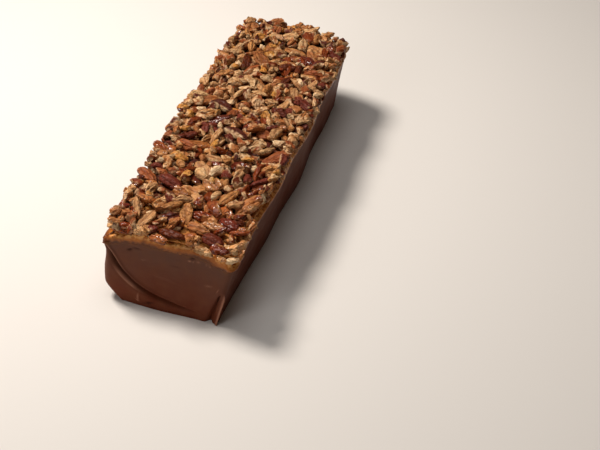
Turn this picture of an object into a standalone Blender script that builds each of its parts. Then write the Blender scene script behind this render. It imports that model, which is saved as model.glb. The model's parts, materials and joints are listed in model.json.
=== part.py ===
"""A loaf of chocolate fudge with a layer of caramel and a crust of broken pecans.

The loaf lies along Y with its cut near end at -Y, +X to its right and +Z up. Sizes are in
millimetres until a mesh is made, and the origin is the middle of the flat base.
"""

import math
import random

import bmesh
import bpy
import numpy as np
from mathutils import Euler, Vector

MM = 0.001
GAP = 0.3  # left between two layers

# The loaf's plan at the top, and its heights
WIDTH = 120.0
LENGTH = 384.0
CORNER = 7.0
CARAMEL_TOP = 65.0
CARAMEL_DEPTH = 6.8

# The wavy line below the caramel, deeper at the near right corner: height, and length across and along
BOUNDARY_WAVE = (1.1, 9.0, 23.0, 0.6)
BOUNDARY_RIPPLE = (0.9, 15.0, 1.0)
CORNER_DEPTH = 4.0

# How the four sides leave that plan
RIGHT_LEAN = 11.0
RIGHT_LEAN_NEAR = 5.5
LEAN_CURVE = 0.7
LEFT_LEAN = 5.0
LEFT_PINCH = 3.0
PINCH_HEIGHT = 46.0
PINCH_SPREAD = 12.0
LEFT_ROUND = 14.0
LEFT_ROUND_FAR = 6.0
ROUND_SHARE = 0.85
NEAR_HOLLOW = 7.0
NEAR_FOOT = 3.0
NEAR_FOOT_SKEW = 5.0
FAR_CROWN = 5.0
FAR_SKEW = 7.0
FAR_ROUND = 13.0
SIDE_WAVE = 1.6
SIDE_WAVES = ((0.6, 17.0, 0.0), (1.0, 41.0, 1.3))  # share of it, length and start
LEFT_WAVE_SHARE = 0.7
END_REACH = 70.0  # how far from an end its shape begins
RELIEF_REACH = 45.0  # how far from the near end its fold fades out along the sides

# The fold on the near end: a smooth flap above a crease, and a lobe that swells below it
CREASE_FOOT = 7.0
CREASE_RISE = 50.0
CREASE_RUN = 25.0
CREASE_LEFT = -57.0
GROOVE_DEPTH = 3.6
GROOVE_WIDTH = 1.7
GROOVE_BELOW = 1.8
LOBE = 3.4
LOBE_START = 2.0
LOBE_FULL = 9.0
FLAP_RIM = 1.2
FLAP_RIM_WIDTH = 2.5
FOLD_FULL = -12.0
FOLD_GONE = 42.0

# The thin rib down the near right corner, with a groove before it
RIB = 2.6
RIB_TOP = 30.0
RIB_FADE = 9.0
RIB_AT = 7.0
RIB_WIDTH = 1.7
RIB_GROOVE_AT = 1.8
RIB_GROOVE_WIDTH = 2.2
RIB_KNOB = 0.8
RIB_KNOB_AT = 2.0
RIB_KNOB_SPREAD = 3.0
AWAY = 999.0  # stands for any place that this corner's relief doesn't reach

# How finely the sides are cut: rings lie at these distances below the crease, with more above and below
NEAR_STEPS = 30
SIDE_STEPS = 12
FAR_STEPS = 7
CORNER_STEPS = 5
CREASE_RINGS = (9.0, 6.5, 4.2, 1.8, 0.0, -2.5, -6.0)
LOWEST_MARK = 2.0
LOW_RINGS = 4
LOW_CURVE = 1.5
HIGH_RINGS = 4
PLAIN_HEIGHT = 30.0  # where they lie on the sides that have no crease
PLAIN_FROM = 30.0
PLAIN_FULL = 55.0
PLAIN_REACH = 60.0
LEAST_RISE = 0.5
CAP_INSET = 9.0
CARAMEL_PROFILE = ((0.4, -0.9), (0.8, -0.3), (1.0, 1.6))  # share of its height, and inset

# Pecan crust: a thin core on the caramel, with the pieces fused to it
CORE_INSET = 5.0
CORE_SLOPE = 1.5
CORE_DEPTH = 2.6
CORE_STRIDE = 3  # it has every third point of the plan
CRUST_SEAT = CARAMEL_TOP + GAP
PECAN_SEED = 28
PECAN_TRIES = 6000
SIZE_SPREAD = (0.85, 1.15)
STEEP_SHARE = 0.12  # of the broken pieces stand steeply
STEEP_TILT = (28, 50)
TILT = 8
ROLL = 15
SEAT = (0.36, 0.50)  # of a piece's thickness, from the caramel to its middle
RISE = (0.3, 2.0)
LAID_RISE = 1.5
UNEVEN = (0.88, 1.08)
CUT_LIFT = (0.15, 0.45)  # where a piece is cut level above the caramel
EDGE_INSET = 0.22  # of a piece's width, kept between its end's middle and the loaf's edge

# name, length, width, thickness, most of them, and how near they crowd (1 is side by side)
PECAN_KINDS = (
    ("half", 26.0, 14.0, 8.0, 12, 0.98),
    ("broken", 19.0, 11.5, 7.5, 110, 0.92),
    ("chunk", 13.0, 9.5, 6.5, 90, 0.92),
    ("chip", 8.0, 7.0, 5.0, 50, 0.92),
)

# sections along each kind as (place, size) from -1 to 1, and the number of its sides
PECAN_FORMS = {
    "half": (((-1.0, 0.45), (-0.5, 0.98), (0.5, 0.96), (1.0, 0.42)), 6),
    "broken": (((-1.0, 0.74), (-0.1, 1.05), (1.0, 0.66)), 5),
    "chunk": (((-1.0, 0.98), (1.0, 0.88)), 5),
    "chip": (((-1.0, 1.0), (1.0, 0.85)), 4),
}

# The largest pieces as they lie: kind, x, y, turn in degrees, length
LAID_PECANS = (
    ("half", 34, -177, -16, 21),
    ("half", 39, -152, -26, 21),
    ("broken", 17, -165, -11, 23),
    ("broken", 14, -147, -7, 22),
    ("half", 0, -149, -73, 23),
    ("broken", -10, -156, 58, 19),
    ("half", -1, -179, -10, 28),
    ("broken", -10, -188, -12, 18),
    ("half", -29, -166, 81, 28),
    ("half", 46, -45, 39, 28),
    ("broken", 26, -28, 58, 25),
    ("half", -28, -109, -15, 25),
    ("broken", -33, -68, -22, 18),
    ("half", -27, -44, 17, 24),
    ("half", -7, -83, -43, 28),
    ("half", -52, -104, -41, 29),
    ("broken", -57, -59, -36, 20),
    ("half", 11, 145, -17, 27),
    ("chunk", -25, 145, 86, 14),
)

# name, base colour and roughness of each layer
FUDGE = ("fudge_body", (0.075, 0.028, 0.018), 0.42)
CARAMEL = ("caramel_layer", (0.30, 0.13, 0.035), 0.35)
TOPPING = ("pecan_topping", (0.42, 0.21, 0.09), 0.5)


def ease(value, start, end):
    """0 at start and 1 at end, with a soft turn at both."""
    share = min(max((value - start) / (end - start), 0.0), 1.0)
    return share * share * (3.0 - 2.0 * share)


def bump(value, middle, width):
    return math.exp(-(((value - middle) / width) ** 2))


def plan_outline():
    """(x, y, outward x, outward y, distance past the near right corner's start) of each plan point."""
    a, b, r = WIDTH / 2, LENGTH / 2, CORNER
    corners = ((a - r, r - b, -90), (a - r, b - r, 0), (r - a, b - r, 90), (r - a, r - b, 180))
    steps = (SIDE_STEPS, FAR_STEPS, SIDE_STEPS, NEAR_STEPS)
    points = []
    for index, (cx, cy, first) in enumerate(corners):
        for step in range(CORNER_STEPS + 1):
            turn = math.radians(first + 90 * step / CORNER_STEPS)
            nx, ny = math.cos(turn), math.sin(turn)
            past = r * math.radians(90 * step / CORNER_STEPS) if index == 0 else AWAY
            points.append((cx + r * nx, cy + r * ny, nx, ny, past))
        ex, ey, _ = corners[(index + 1) % 4]
        turn = math.radians(first + 90)
        nx, ny = math.cos(turn), math.sin(turn)
        for step in range(1, steps[index]):
            share = step / steps[index]
            x, y = cx + (ex - cx) * share + r * nx, cy + (ey - cy) * share + r * ny
            past = x - (a - r) if index == 3 else AWAY
            points.append((x, y, nx, ny, past))
    return points


def boundary_height(x, y):
    """Height of the wavy line where the fudge meets the caramel."""
    size, across, along, start = BOUNDARY_WAVE
    wave = size * math.sin(x / across + y / along + start)
    size, along, start = BOUNDARY_RIPPLE
    ripple = size * math.sin(y / along + start)
    corner = CORNER_DEPTH * ease(x, 5.0, 58.0) * ease(y, -150.0, -185.0)
    return CARAMEL_TOP - CARAMEL_DEPTH + wave + ripple - corner


def crease_line(x):
    """The crease's height on the near end, and its length for each millimetre across."""
    fall = math.exp(-(x - CREASE_LEFT) / CREASE_RUN)
    slope = CREASE_RISE * fall / CREASE_RUN
    return CREASE_FOOT + CREASE_RISE * fall, math.sqrt(1 + slope * slope)


def fold_relief(x, z):
    """How far the near end stands out at the fold that runs down from its upper left corner."""
    height, steepness = crease_line(x)
    below = (height - z) / steepness
    strength = 1.0 - ease(x, FOLD_FULL, FOLD_GONE)
    lobe = LOBE * ease(below, LOBE_START, LOBE_FULL)
    groove = GROOVE_DEPTH * bump(below, GROOVE_BELOW, GROOVE_WIDTH)
    rim = FLAP_RIM * bump(below, -FLAP_RIM_WIDTH, FLAP_RIM_WIDTH)
    return strength * (lobe - groove + rim)


def rib_relief(past, z):
    """How far the near right corner stands out at its thin rib, which ends in a small knob."""
    strength = 1.0 - ease(z, RIB_TOP - RIB_FADE, RIB_TOP)
    knob = RIB_KNOB * bump(z, RIB_KNOB_AT, RIB_KNOB_SPREAD)
    rib = (RIB + knob) * bump(past, RIB_AT, RIB_WIDTH)
    return strength * (rib - RIB * bump(past, RIB_GROOVE_AT, RIB_GROOVE_WIDTH))


def round_under(z, radius):
    """How far a rounded lower edge draws in at this height."""
    if z >= radius:
        return 0.0
    return ROUND_SHARE * (radius - math.sqrt(radius * radius - (radius - z) ** 2))


def loaf_point(x, y, z):
    """Where a point of the plan lies on the leaning, hollowed loaf at height z."""
    across = x / (WIDTH / 2)
    down = max(0.0, 1.0 - z / CARAMEL_TOP)
    near = ease(y, -LENGTH / 2 + END_REACH, -LENGTH / 2)
    far = ease(y, LENGTH / 2 - END_REACH, LENGTH / 2)
    wave = SIDE_WAVE * sum(share * math.sin(y / length + start) for share, length, start in SIDE_WAVES)
    if across > 0:
        moved = wave - (RIGHT_LEAN + RIGHT_LEAN_NEAR * near) * down**LEAN_CURVE
    else:
        under = LEFT_ROUND_FAR + (LEFT_ROUND - LEFT_ROUND_FAR) * near
        pinch = LEFT_PINCH * bump(z, PINCH_HEIGHT, PINCH_SPREAD) * near
        lean = (1.0 - near) * LEFT_LEAN * down
        moved = wave * LEFT_WAVE_SHARE - lean - pinch - round_under(z, under)
    end = 1.0 - across * across
    near_out = down * (NEAR_FOOT + NEAR_FOOT_SKEW * across) - (1.0 - down) * NEAR_HOLLOW * end
    far_out = FAR_CROWN - FAR_SKEW * across - FAR_ROUND * across * across
    return x + across * moved, y - near * near_out + far * far_out


def side_point(plan, z, inset=0.0):
    """The loaf's surface at a plan point and a height, with the near end's relief."""
    x, y, nx, ny, past = plan
    wx, wy = loaf_point(x, y, z)
    out = -inset
    near = 1.0 - ease(y, -LENGTH / 2, -LENGTH / 2 + RELIEF_REACH)
    if near > 0.0:
        out += near * fold_relief(x, z)
    out += rib_relief(past, z)
    return wx + nx * out, wy + ny * out


def add_ring(bm, points):
    return [bm.verts.new((x * MM, y * MM, z * MM)) for x, y, z in points]


def join_rings(bm, lower, upper):
    """A band of triangles between two rings of as many points, cut the same way in every layer."""
    for index in range(len(lower)):
        after = (index + 1) % len(lower)
        bm.faces.new((lower[index], lower[after], upper[after]))
        bm.faces.new((lower[index], upper[after], upper[index]))


def layer_cap(bm, ring, plans, height, lift, upward):
    """Closes a ring at the wavy boundary: a sloping band to an inner ring, then a level floor."""
    inner = []
    for x, y, nx, ny, _ in plans:
        wx, wy = loaf_point(x, y, height)
        inner.append((wx - nx * CAP_INSET, wy - ny * CAP_INSET, height + lift))
    inner = add_ring(bm, inner)
    for index in range(len(ring)):
        after = (index + 1) % len(ring)
        faces = ((ring[index], ring[after], inner[after]), (ring[index], inner[after], inner[index]))
        for face in faces:
            bm.faces.new(face if upward else tuple(reversed(face)))
    bm.faces.new(inner if upward else list(reversed(inner)))


def caramel_foot(plans):
    """The caramel's lowest ring, straight above the fudge's highest."""
    points = []
    for plan in plans:
        height = boundary_height(plan[0], plan[1])
        x, y = side_point(plan, height - GAP / 2)
        points.append((x, y, height + GAP / 2))
    return points


def finish_mesh(bm, name, colour, roughness):
    """A linked node from these faces, with its own material."""
    bmesh.ops.triangulate(bm, faces=bm.faces)
    mesh = bpy.data.meshes.new(name)
    bm.to_mesh(mesh)
    bm.free()
    node = bpy.data.objects.new(name, mesh)
    bpy.context.scene.collection.objects.link(node)
    material = bpy.data.materials.new(name)
    material.use_nodes = True
    shader = material.node_tree.nodes["Principled BSDF"]
    shader.inputs["Base Color"].default_value = (*colour, 1.0)
    shader.inputs["Roughness"].default_value = roughness
    shader.inputs["Metallic"].default_value = 0.0
    mesh.materials.append(material)
    return node


def ring_heights(x, y):
    """Heights of the fudge's rings at one plan point, close together about the crease."""
    top = boundary_height(x, y) - GAP / 2
    height, steepness = crease_line(x)
    plain = max(ease(x, PLAIN_FROM, PLAIN_FULL), ease(y, -LENGTH / 2, -LENGTH / 2 + PLAIN_REACH))
    height += (PLAIN_HEIGHT - height) * plain
    steepness += (1.0 - steepness) * plain
    marks = [height - below * steepness for below in CREASE_RINGS]
    low = [max(marks[0], LOWEST_MARK) * (step / LOW_RINGS) ** LOW_CURVE for step in range(LOW_RINGS)]
    high = [marks[-1] + (top - marks[-1]) * step / HIGH_RINGS for step in range(1, HIGH_RINGS + 1)]
    heights = low + marks + high
    last = len(heights) - 1
    for index in range(last + 1):
        heights[index] = max(heights[index], index * LEAST_RISE)
        heights[index] = min(heights[index], top - (last - index) * LEAST_RISE)
    return heights


def make_fudge(plans):
    """The chocolate body, from the flat base up to the wavy boundary."""
    bm = bmesh.new()
    columns = []
    for plan in plans:
        column = []
        for z in ring_heights(plan[0], plan[1]):
            x, y = side_point(plan, z)
            column.append((x, y, z))
        columns.append(column)
    rings = [add_ring(bm, ring) for ring in zip(*columns)]
    for lower, upper in zip(rings, rings[1:]):
        join_rings(bm, lower, upper)
    bm.faces.new(list(reversed(rings[0])))
    layer_cap(bm, rings[-1], plans, CARAMEL_TOP - CARAMEL_DEPTH, -GAP / 2, True)
    return finish_mesh(bm, *FUDGE)


def make_caramel(plans):
    """The caramel layer, which bulges a little between its lower line and its rounded top edge."""
    bm = bmesh.new()
    rings = [add_ring(bm, caramel_foot(plans))]
    for share, inset in CARAMEL_PROFILE:
        points = []
        for plan in plans:
            low = boundary_height(plan[0], plan[1]) + GAP / 2
            z = low + share * (CARAMEL_TOP - low)
            x, y = side_point(plan, z, inset)
            points.append((x, y, z))
        rings.append(add_ring(bm, points))
    for lower, upper in zip(rings, rings[1:]):
        join_rings(bm, lower, upper)
    layer_cap(bm, rings[0], plans, CARAMEL_TOP - CARAMEL_DEPTH, GAP / 2, False)
    bm.faces.new(rings[-1])
    return finish_mesh(bm, *CARAMEL)


def crust_core(plans):
    """A low slab on the caramel, inside the ring of nuts."""
    bm = bmesh.new()
    rings = []
    for height, inset in ((CRUST_SEAT, CORE_INSET), (CRUST_SEAT + CORE_DEPTH, CORE_INSET + CORE_SLOPE)):
        points = []
        for x, y, nx, ny, _ in plans[::CORE_STRIDE]:
            wx, wy = loaf_point(x, y, CARAMEL_TOP)
            points.append((wx - nx * inset, wy - ny * inset, height))
        rings.append(add_ring(bm, points))
    join_rings(bm, rings[0], rings[1])
    bm.faces.new(list(reversed(rings[0])))
    bm.faces.new(rings[1])
    return finish_mesh(bm, *TOPPING)


def pecan_places():
    """Every piece as (kind, x, y, height, turn, tilt, roll, length, width, thickness), largest first."""
    rng = random.Random(PECAN_SEED)
    sizes = {row[0]: row[1:4] for row in PECAN_KINDS}
    taken, places = [], []

    def room(discs, crowd):
        """Whether no disc of a new piece comes nearer to another than this share of their radii."""
        if not taken:
            return True
        others = np.array(taken)
        for x, y, radius in discs:
            apart = np.hypot(others[:, 0] - x, others[:, 1] - y)
            if (apart < crowd * (others[:, 2] + radius)).any():
                return False
        return True

    def lay(kind, x, y, turn, length, width, thick, crowd, rise):
        """Puts a piece down where there is room, and says whether there was."""
        reach = (length - width) / 2
        dx, dy = reach * math.cos(math.radians(turn)), reach * math.sin(math.radians(turn))
        discs = [(x + share * dx, y + share * dy, width / 2) for share in (-1, 0, 1)]
        if not room(discs, crowd):
            return False
        taken.extend(discs)
        steep = kind != "half" and rng.random() < STEEP_SHARE
        tilt = rng.choice((-1, 1)) * rng.uniform(*STEEP_TILT) if steep else rng.gauss(0, TILT)
        roll = rng.gauss(0, ROLL)
        height = CRUST_SEAT + thick * rng.uniform(*SEAT) + rise
        places.append((kind, x, y, height, turn, tilt, roll, length, width, thick))
        return True

    for kind, x, y, turn, length in LAID_PECANS:
        _, width, thick = sizes[kind]
        lay(kind, x, y, turn, length, width, thick, 0.0, LAID_RISE)
    for kind, length, width, thick, count, crowd in PECAN_KINDS:
        made = 0
        for _ in range(PECAN_TRIES):
            scale = rng.uniform(*SIZE_SPREAD)
            across = width * scale * rng.uniform(*SIZE_SPREAD)
            turn = rng.uniform(0, 360)
            reach = (length * scale - across) / 2
            inset_x = EDGE_INSET * width + reach * abs(math.cos(math.radians(turn)))
            inset_y = EDGE_INSET * width + reach * abs(math.sin(math.radians(turn)))
            u = rng.uniform(inset_x - WIDTH / 2, WIDTH / 2 - inset_x)
            v = rng.uniform(inset_y - LENGTH / 2, LENGTH / 2 - inset_y)
            x, y = loaf_point(u, v, CARAMEL_TOP)
            rise = rng.uniform(*RISE)
            made += lay(kind, x, y, turn, length * scale, across, thick * scale, crowd, rise)
            if made == count:
                break
    return places


def make_pecan(index, place, rng):
    """One piece as a closed faceted solid, cut level where it would sink into the caramel."""
    kind, x, y, height, turn, tilt, roll, length, width, thick = place
    sections, sides = PECAN_FORMS[kind]
    angles = Euler((math.radians(roll), math.radians(tilt), math.radians(turn)))
    floor = CRUST_SEAT + rng.uniform(*CUT_LIFT)
    bm = bmesh.new()
    rings = []
    for along, size in sections:
        ring = []
        for side in range(sides):
            corner = 2 * math.pi * (side + 0.5) / sides
            reach = size * rng.uniform(*UNEVEN)
            point = Vector((
                along * length / 2,
                reach * math.cos(corner) * width / 2,
                reach * math.sin(corner) * thick / 2,
            ))
            point.rotate(angles)
            point += Vector((x, y, height))
            ring.append(point)
        rings.append(add_ring(bm, ring))
    for lower, upper in zip(rings, rings[1:]):
        join_rings(bm, lower, upper)
    bm.faces.new(list(reversed(rings[0])))
    bm.faces.new(rings[-1])
    cut = bmesh.ops.bisect_plane(
        bm, geom=[*bm.verts, *bm.edges, *bm.faces], dist=1e-7,
        plane_co=(0, 0, floor * MM), plane_no=(0, 0, 1), clear_inner=True,
    )
    rim = [item for item in cut["geom_cut"] if isinstance(item, bmesh.types.BMEdge)]
    bmesh.ops.holes_fill(bm, edges=rim)
    bmesh.ops.triangulate(bm, faces=bm.faces)
    bmesh.ops.recalc_face_normals(bm, faces=bm.faces)
    mesh = bpy.data.meshes.new("pecan")
    bm.to_mesh(mesh)
    bm.free()
    return bpy.data.objects.new(f"pecan_{index}", mesh)


def keep_largest_shell(mesh):
    """Drops loose scraps and the walls of sealed hollows, which fills them."""
    bm = bmesh.new()
    bm.from_mesh(mesh)
    left = set(bm.verts)
    shells = []
    while left:
        shell, edge = set(), [left.pop()]
        while edge:
            vert = edge.pop()
            shell.add(vert)
            for link in vert.link_edges:
                other = link.other_vert(vert)
                if other in left:
                    left.discard(other)
                    edge.append(other)
        shells.append(shell)
    keep = max(shells, key=len)
    bmesh.ops.delete(bm, geom=[vert for vert in bm.verts if vert not in keep], context="VERTS")
    bmesh.ops.triangulate(bm, faces=bm.faces)
    bm.to_mesh(mesh)
    bm.free()


def make_topping(plans):
    """The core and every pecan piece on it, fused into one solid."""
    topping = crust_core(plans)
    rng = random.Random(PECAN_SEED + 1)
    nuts = bpy.data.collections.new("nuts")
    bpy.context.scene.collection.children.link(nuts)
    for index, place in enumerate(pecan_places()):
        nuts.objects.link(make_pecan(index, place, rng))
    fuse = topping.modifiers.new("fuse", "BOOLEAN")
    fuse.operation = "UNION"
    fuse.operand_type = "COLLECTION"
    fuse.collection = nuts
    fuse.solver = "MANIFOLD"
    graph = bpy.context.evaluated_depsgraph_get()
    fused = bpy.data.meshes.new_from_object(topping.evaluated_get(graph))
    topping.modifiers.clear()
    bare = topping.data
    topping.data = fused
    topping.data.name = topping.name
    bpy.data.meshes.remove(bare)
    for nut in list(nuts.objects):
        bpy.data.objects.remove(nut)
    bpy.data.collections.remove(nuts)
    keep_largest_shell(topping.data)
    return topping


def centre_on_base(nodes):
    """Moves every layer together so that the origin is the middle of the whole at the base."""
    corners = [vert.co for node in nodes for vert in node.data.vertices]
    middle = [(min(c[axis] for c in corners) + max(c[axis] for c in corners)) / 2 for axis in (0, 1)]
    for node in nodes:
        for vert in node.data.vertices:
            vert.co.x -= middle[0]
            vert.co.y -= middle[1]


def clear_scene():
    for thing in list(bpy.data.objects):
        bpy.data.objects.remove(thing)


def main():
    clear_scene()
    plans = plan_outline()
    nodes = [make_fudge(plans), make_caramel(plans), make_topping(plans)]
    centre_on_base(nodes)


main()
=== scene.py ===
"""Looks for a loaf of chocolate fudge with a caramel layer and a crust of broken pecans.

Shapes repeat the part's own rules and values, in millimetres, with +Y along the loaf, its cut near
end at -Y and +X to its right. `metres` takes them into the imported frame.
"""

import json
import math
import random

import bmesh
import bpy
import numpy as np
from mathutils import Matrix, Vector, noise

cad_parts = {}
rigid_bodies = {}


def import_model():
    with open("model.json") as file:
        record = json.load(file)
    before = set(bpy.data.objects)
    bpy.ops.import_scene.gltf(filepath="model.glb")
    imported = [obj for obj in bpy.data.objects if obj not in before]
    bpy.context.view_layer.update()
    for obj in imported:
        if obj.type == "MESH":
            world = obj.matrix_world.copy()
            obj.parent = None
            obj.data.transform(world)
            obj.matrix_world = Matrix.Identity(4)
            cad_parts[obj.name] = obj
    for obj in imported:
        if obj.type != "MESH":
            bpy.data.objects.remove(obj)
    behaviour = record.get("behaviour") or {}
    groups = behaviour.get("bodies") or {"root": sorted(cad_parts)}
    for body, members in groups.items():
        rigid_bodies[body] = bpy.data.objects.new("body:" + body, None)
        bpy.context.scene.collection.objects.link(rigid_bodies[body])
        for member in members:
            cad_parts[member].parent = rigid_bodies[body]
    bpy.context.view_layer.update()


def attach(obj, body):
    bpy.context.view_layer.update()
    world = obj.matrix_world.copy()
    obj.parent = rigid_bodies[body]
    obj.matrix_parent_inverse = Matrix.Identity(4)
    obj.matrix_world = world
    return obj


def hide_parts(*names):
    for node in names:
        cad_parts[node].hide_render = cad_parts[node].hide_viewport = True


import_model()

MM = 0.001
GAP = 0.3
CENTRE = (-1.3419, 0.5861)  # the middle of the whole on the base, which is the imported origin

# The loaf's shape, as in the part
WIDTH = 120.0
LENGTH = 384.0
CORNER = 7.0
CARAMEL_TOP = 65.0
CARAMEL_DEPTH = 6.8

BOUNDARY_WAVE = (1.1, 9.0, 23.0, 0.6)
BOUNDARY_RIPPLE = (0.9, 15.0, 1.0)
CORNER_DEPTH = 4.0

RIGHT_LEAN = 11.0
RIGHT_LEAN_NEAR = 5.5
LEAN_CURVE = 0.7
LEFT_LEAN = 5.0
LEFT_PINCH = 3.0
PINCH_HEIGHT = 46.0
PINCH_SPREAD = 12.0
LEFT_ROUND = 15.0
LEFT_ROUND_FAR = 6.0
ROUND_SHARE = 0.85
ROUND_POWER = 1.35
NEAR_HOLLOW = 7.0
NEAR_FOOT = 3.0
NEAR_FOOT_SKEW = 5.0
FAR_CROWN = 5.0
FAR_SKEW = 7.0
FAR_ROUND = 13.0
SIDE_WAVE = 1.6
SIDE_WAVES = ((0.6, 17.0, 0.0), (1.0, 41.0, 1.3))
LEFT_WAVE_SHARE = 0.7
END_REACH = 70.0
RELIEF_REACH = 45.0

CREASE_FOOT = 7.0
CREASE_RISE = 50.0
CREASE_RUN = 21.0
CREASE_LEFT = -57.0
GROOVE_DEPTH = 7.5
GROOVE_ABOVE = 0.5  # its side under the flap is steep
GROOVE_UNDER = 1.7  # and its side on the lobe is easy
GROOVE_BELOW = 0.9
LOBE = 3.2
LOBE_START = 1.0
LOBE_FULL = 6.0
LOBE_CREST = 1.1
LOBE_CREST_AT = 3.8
LOBE_CREST_WIDTH = 0.65
LOBE_CREST_MIDDLE = -39.0
LOBE_CREST_REACH = 13.0
FLAP_RIM = 1.2
FLAP_RIM_AT = -0.9
FLAP_RIM_WIDTH = 1.5
FLAP_REACH = 4.4  # the flap's corner stands out on the left
FLAP_FROM = (54.5, 58.0)  # heights over which it comes out, and goes in again
FLAP_TO = (58.5, 62.5)
LOBE_TUCK = 2.6  # and the lobe under it is drawn in
TUCK_TO = (47.0, 54.0)
FOLD_FULL = -20.0
FOLD_GONE = 42.0

RIB = 2.9
RIB_TOP = 31.0
RIB_FADE = 7.0
RIB_AT = 7.0
RIB_WIDTH = 0.65
RIB_SLANT = 2.4
RIB_GROOVE = 4.6
RIB_GROOVE_AT = 3.4  # beside the rib at its top
RIB_GROOVE_RUN = 6.0  # and this much further away at its foot
RIB_GROOVE_WIDTH = 2.0
RIB_GROOVE_SPREAD = 0.9  # it is this share wider at its foot
RIB_KNOB = 0.5
RIB_KNOB_AT = 2.0
RIB_KNOB_SPREAD = 3.0
AWAY = 999.0

PLAIN_HEIGHT = 30.0
PLAIN_FROM = 30.0
PLAIN_FULL = 55.0
PLAIN_REACH = 60.0

# The crust's pieces, as in the part
CRUST_SEAT = CARAMEL_TOP + GAP
PECAN_SEED = 28
PECAN_TRIES = 6000
SIZE_SPREAD = (0.85, 1.15)
STEEP_SHARE = 0.12
STEEP_TILT = (28, 50)
TILT = 8
ROLL = 15
SEAT = (0.36, 0.50)
RISE = (0.3, 2.0)
LAID_RISE = 1.5
EDGE_INSET = 0.22
# kind, length, width, thickness, how many, and how close they may lie
PECAN_KINDS = (
    ("half", 26.0, 14.0, 8.0, 12, 0.98),
    ("broken", 19.0, 11.5, 7.5, 110, 0.92),
    ("chunk", 13.0, 9.5, 6.5, 90, 0.92),
    ("chip", 8.0, 7.0, 5.0, 50, 0.92),
)
PECAN_SIZES = {row[0]: row[1:4] for row in PECAN_KINDS}

# kind, x, y, turn, length, and here also its skin's tone and whether its grooved belly is up
LAID_PECANS = (
    ("half", 34, -177, -16, 21, "mahogany", False),
    ("half", 39, -152, -26, 21, "wine", False),
    ("broken", 17, -165, -11, 23, "amber", False),
    ("broken", 14, -147, -7, 22, "chestnut", False),
    ("half", 0, -149, -73, 23, "honey", True),
    ("broken", -10, -156, 58, 19, "plum", False),
    ("half", -1, -179, -10, 28, "cocoa", False),
    ("broken", -10, -188, -12, 18, "amber", False),
    ("half", -29, -166, 81, 28, "tan", True),
    ("half", 46, -45, 39, 28, "ginger", True),
    ("broken", 26, -28, 58, 25, "tan", False),
    ("half", -28, -109, -15, 25, "wine", False),
    ("broken", -33, -68, -22, 18, "amber", False),
    ("half", -27, -44, 17, 24, "honey", True),
    ("half", -7, -83, -43, 28, "tan", True),
    ("half", -52, -104, -41, 29, "ginger", False),
    ("broken", -57, -59, -36, 20, "ginger", False),
    ("half", 11, 145, -17, 27, "honey", False),
    ("chunk", -25, 145, 86, 14, "cream", False),
)

# How finely this model is cut: steps along the near end, sides, far end and corners, and rings
NEAR_STEPS = 150
SIDE_STEPS = 120
FAR_STEPS = 44
CORNER_STEPS = 32
CREASE_RINGS = (
    13.0, 11.0, 9.5, 8.2, 7.2, 6.3, 5.5, 4.8, 4.1, 3.5, 2.9, 2.4, 1.9, 1.4, 0.9, 0.4, 0.0,
    -0.5, -1.0, -1.6, -2.3, -3.1, -4.0, -5.0, -6.2, -7.6,
)
LOW_RINGS = 10
HIGH_RINGS = 30
LEAST_RISE = 0.12

# Marks that the knife and the fold left on the near end: x, z, length, width, turn, height
NEAR_MARKS = (
    (41.3, 34.8, 3.2, 0.5, 6, 0.4),
    (51.5, 33.0, 1.8, 0.5, 66, 0.4),
    (-29.6, 8.6, 3.6, 0.6, 62, 0.6),
    (-31.8, 5.2, 1.6, 0.6, -20, 0.5),
    (-20.5, 4.6, 5.0, 0.8, 16, -0.9),
    (-36.4, 52.8, 2.4, 0.9, 20, -0.9),
    (-30.0, 54.6, 3.5, 0.7, -12, -0.6),
    (-24.8, 44.5, 2.4, 0.5, 4, 0.2),
    (20.5, 55.4, 2.4, 0.7, 8, -1.0),
    (18.4, 52.9, 1.9, 0.5, -14, 0.6),
    (22.0, 53.4, 0.9, 0.5, 55, 0.5),
    (26.6, 53.6, 1.6, 0.5, -5, 0.7),
    (34.5, 53.8, 0.8, 0.5, -40, 0.7),
    (38.0, 53.2, 1.2, 0.5, -30, 0.5),
    (8.0, 44.0, 7.0, 0.6, -4, -0.25),
    (-5.0, 30.0, 9.0, 0.7, -8, 0.12),
)


def ease(value, start, end):
    """0 at start and 1 at end, with a soft turn at both."""
    share = min(max((value - start) / (end - start), 0.0), 1.0)
    return share * share * (3.0 - 2.0 * share)


def bump(value, middle, width):
    """1 in the middle, and near 0 from twice the width away."""
    return math.exp(-(((value - middle) / width) ** 2))


def heading(degrees):
    """The cosine and sine of an angle."""
    return math.cos(math.radians(degrees)), math.sin(math.radians(degrees))


def ripple(x, y, z, size, seed=0.0):
    """Smooth noise from -1 to 1 whose bumps are about this size in millimetres."""
    return noise.noise(Vector((x / size + seed, y / size - seed, z / size + 2 * seed)))


def rough(x, y, z, rows, level=0.0):
    """A level made uneven by ripples, each given as its height, size and seed."""
    for height, size, seed in rows:
        level += height * ripple(x, y, z, size, seed)
    return level


def metres(point):
    """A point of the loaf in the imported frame."""
    return ((point[0] - CENTRE[0]) * MM, (point[1] - CENTRE[1]) * MM, point[2] * MM)


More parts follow.
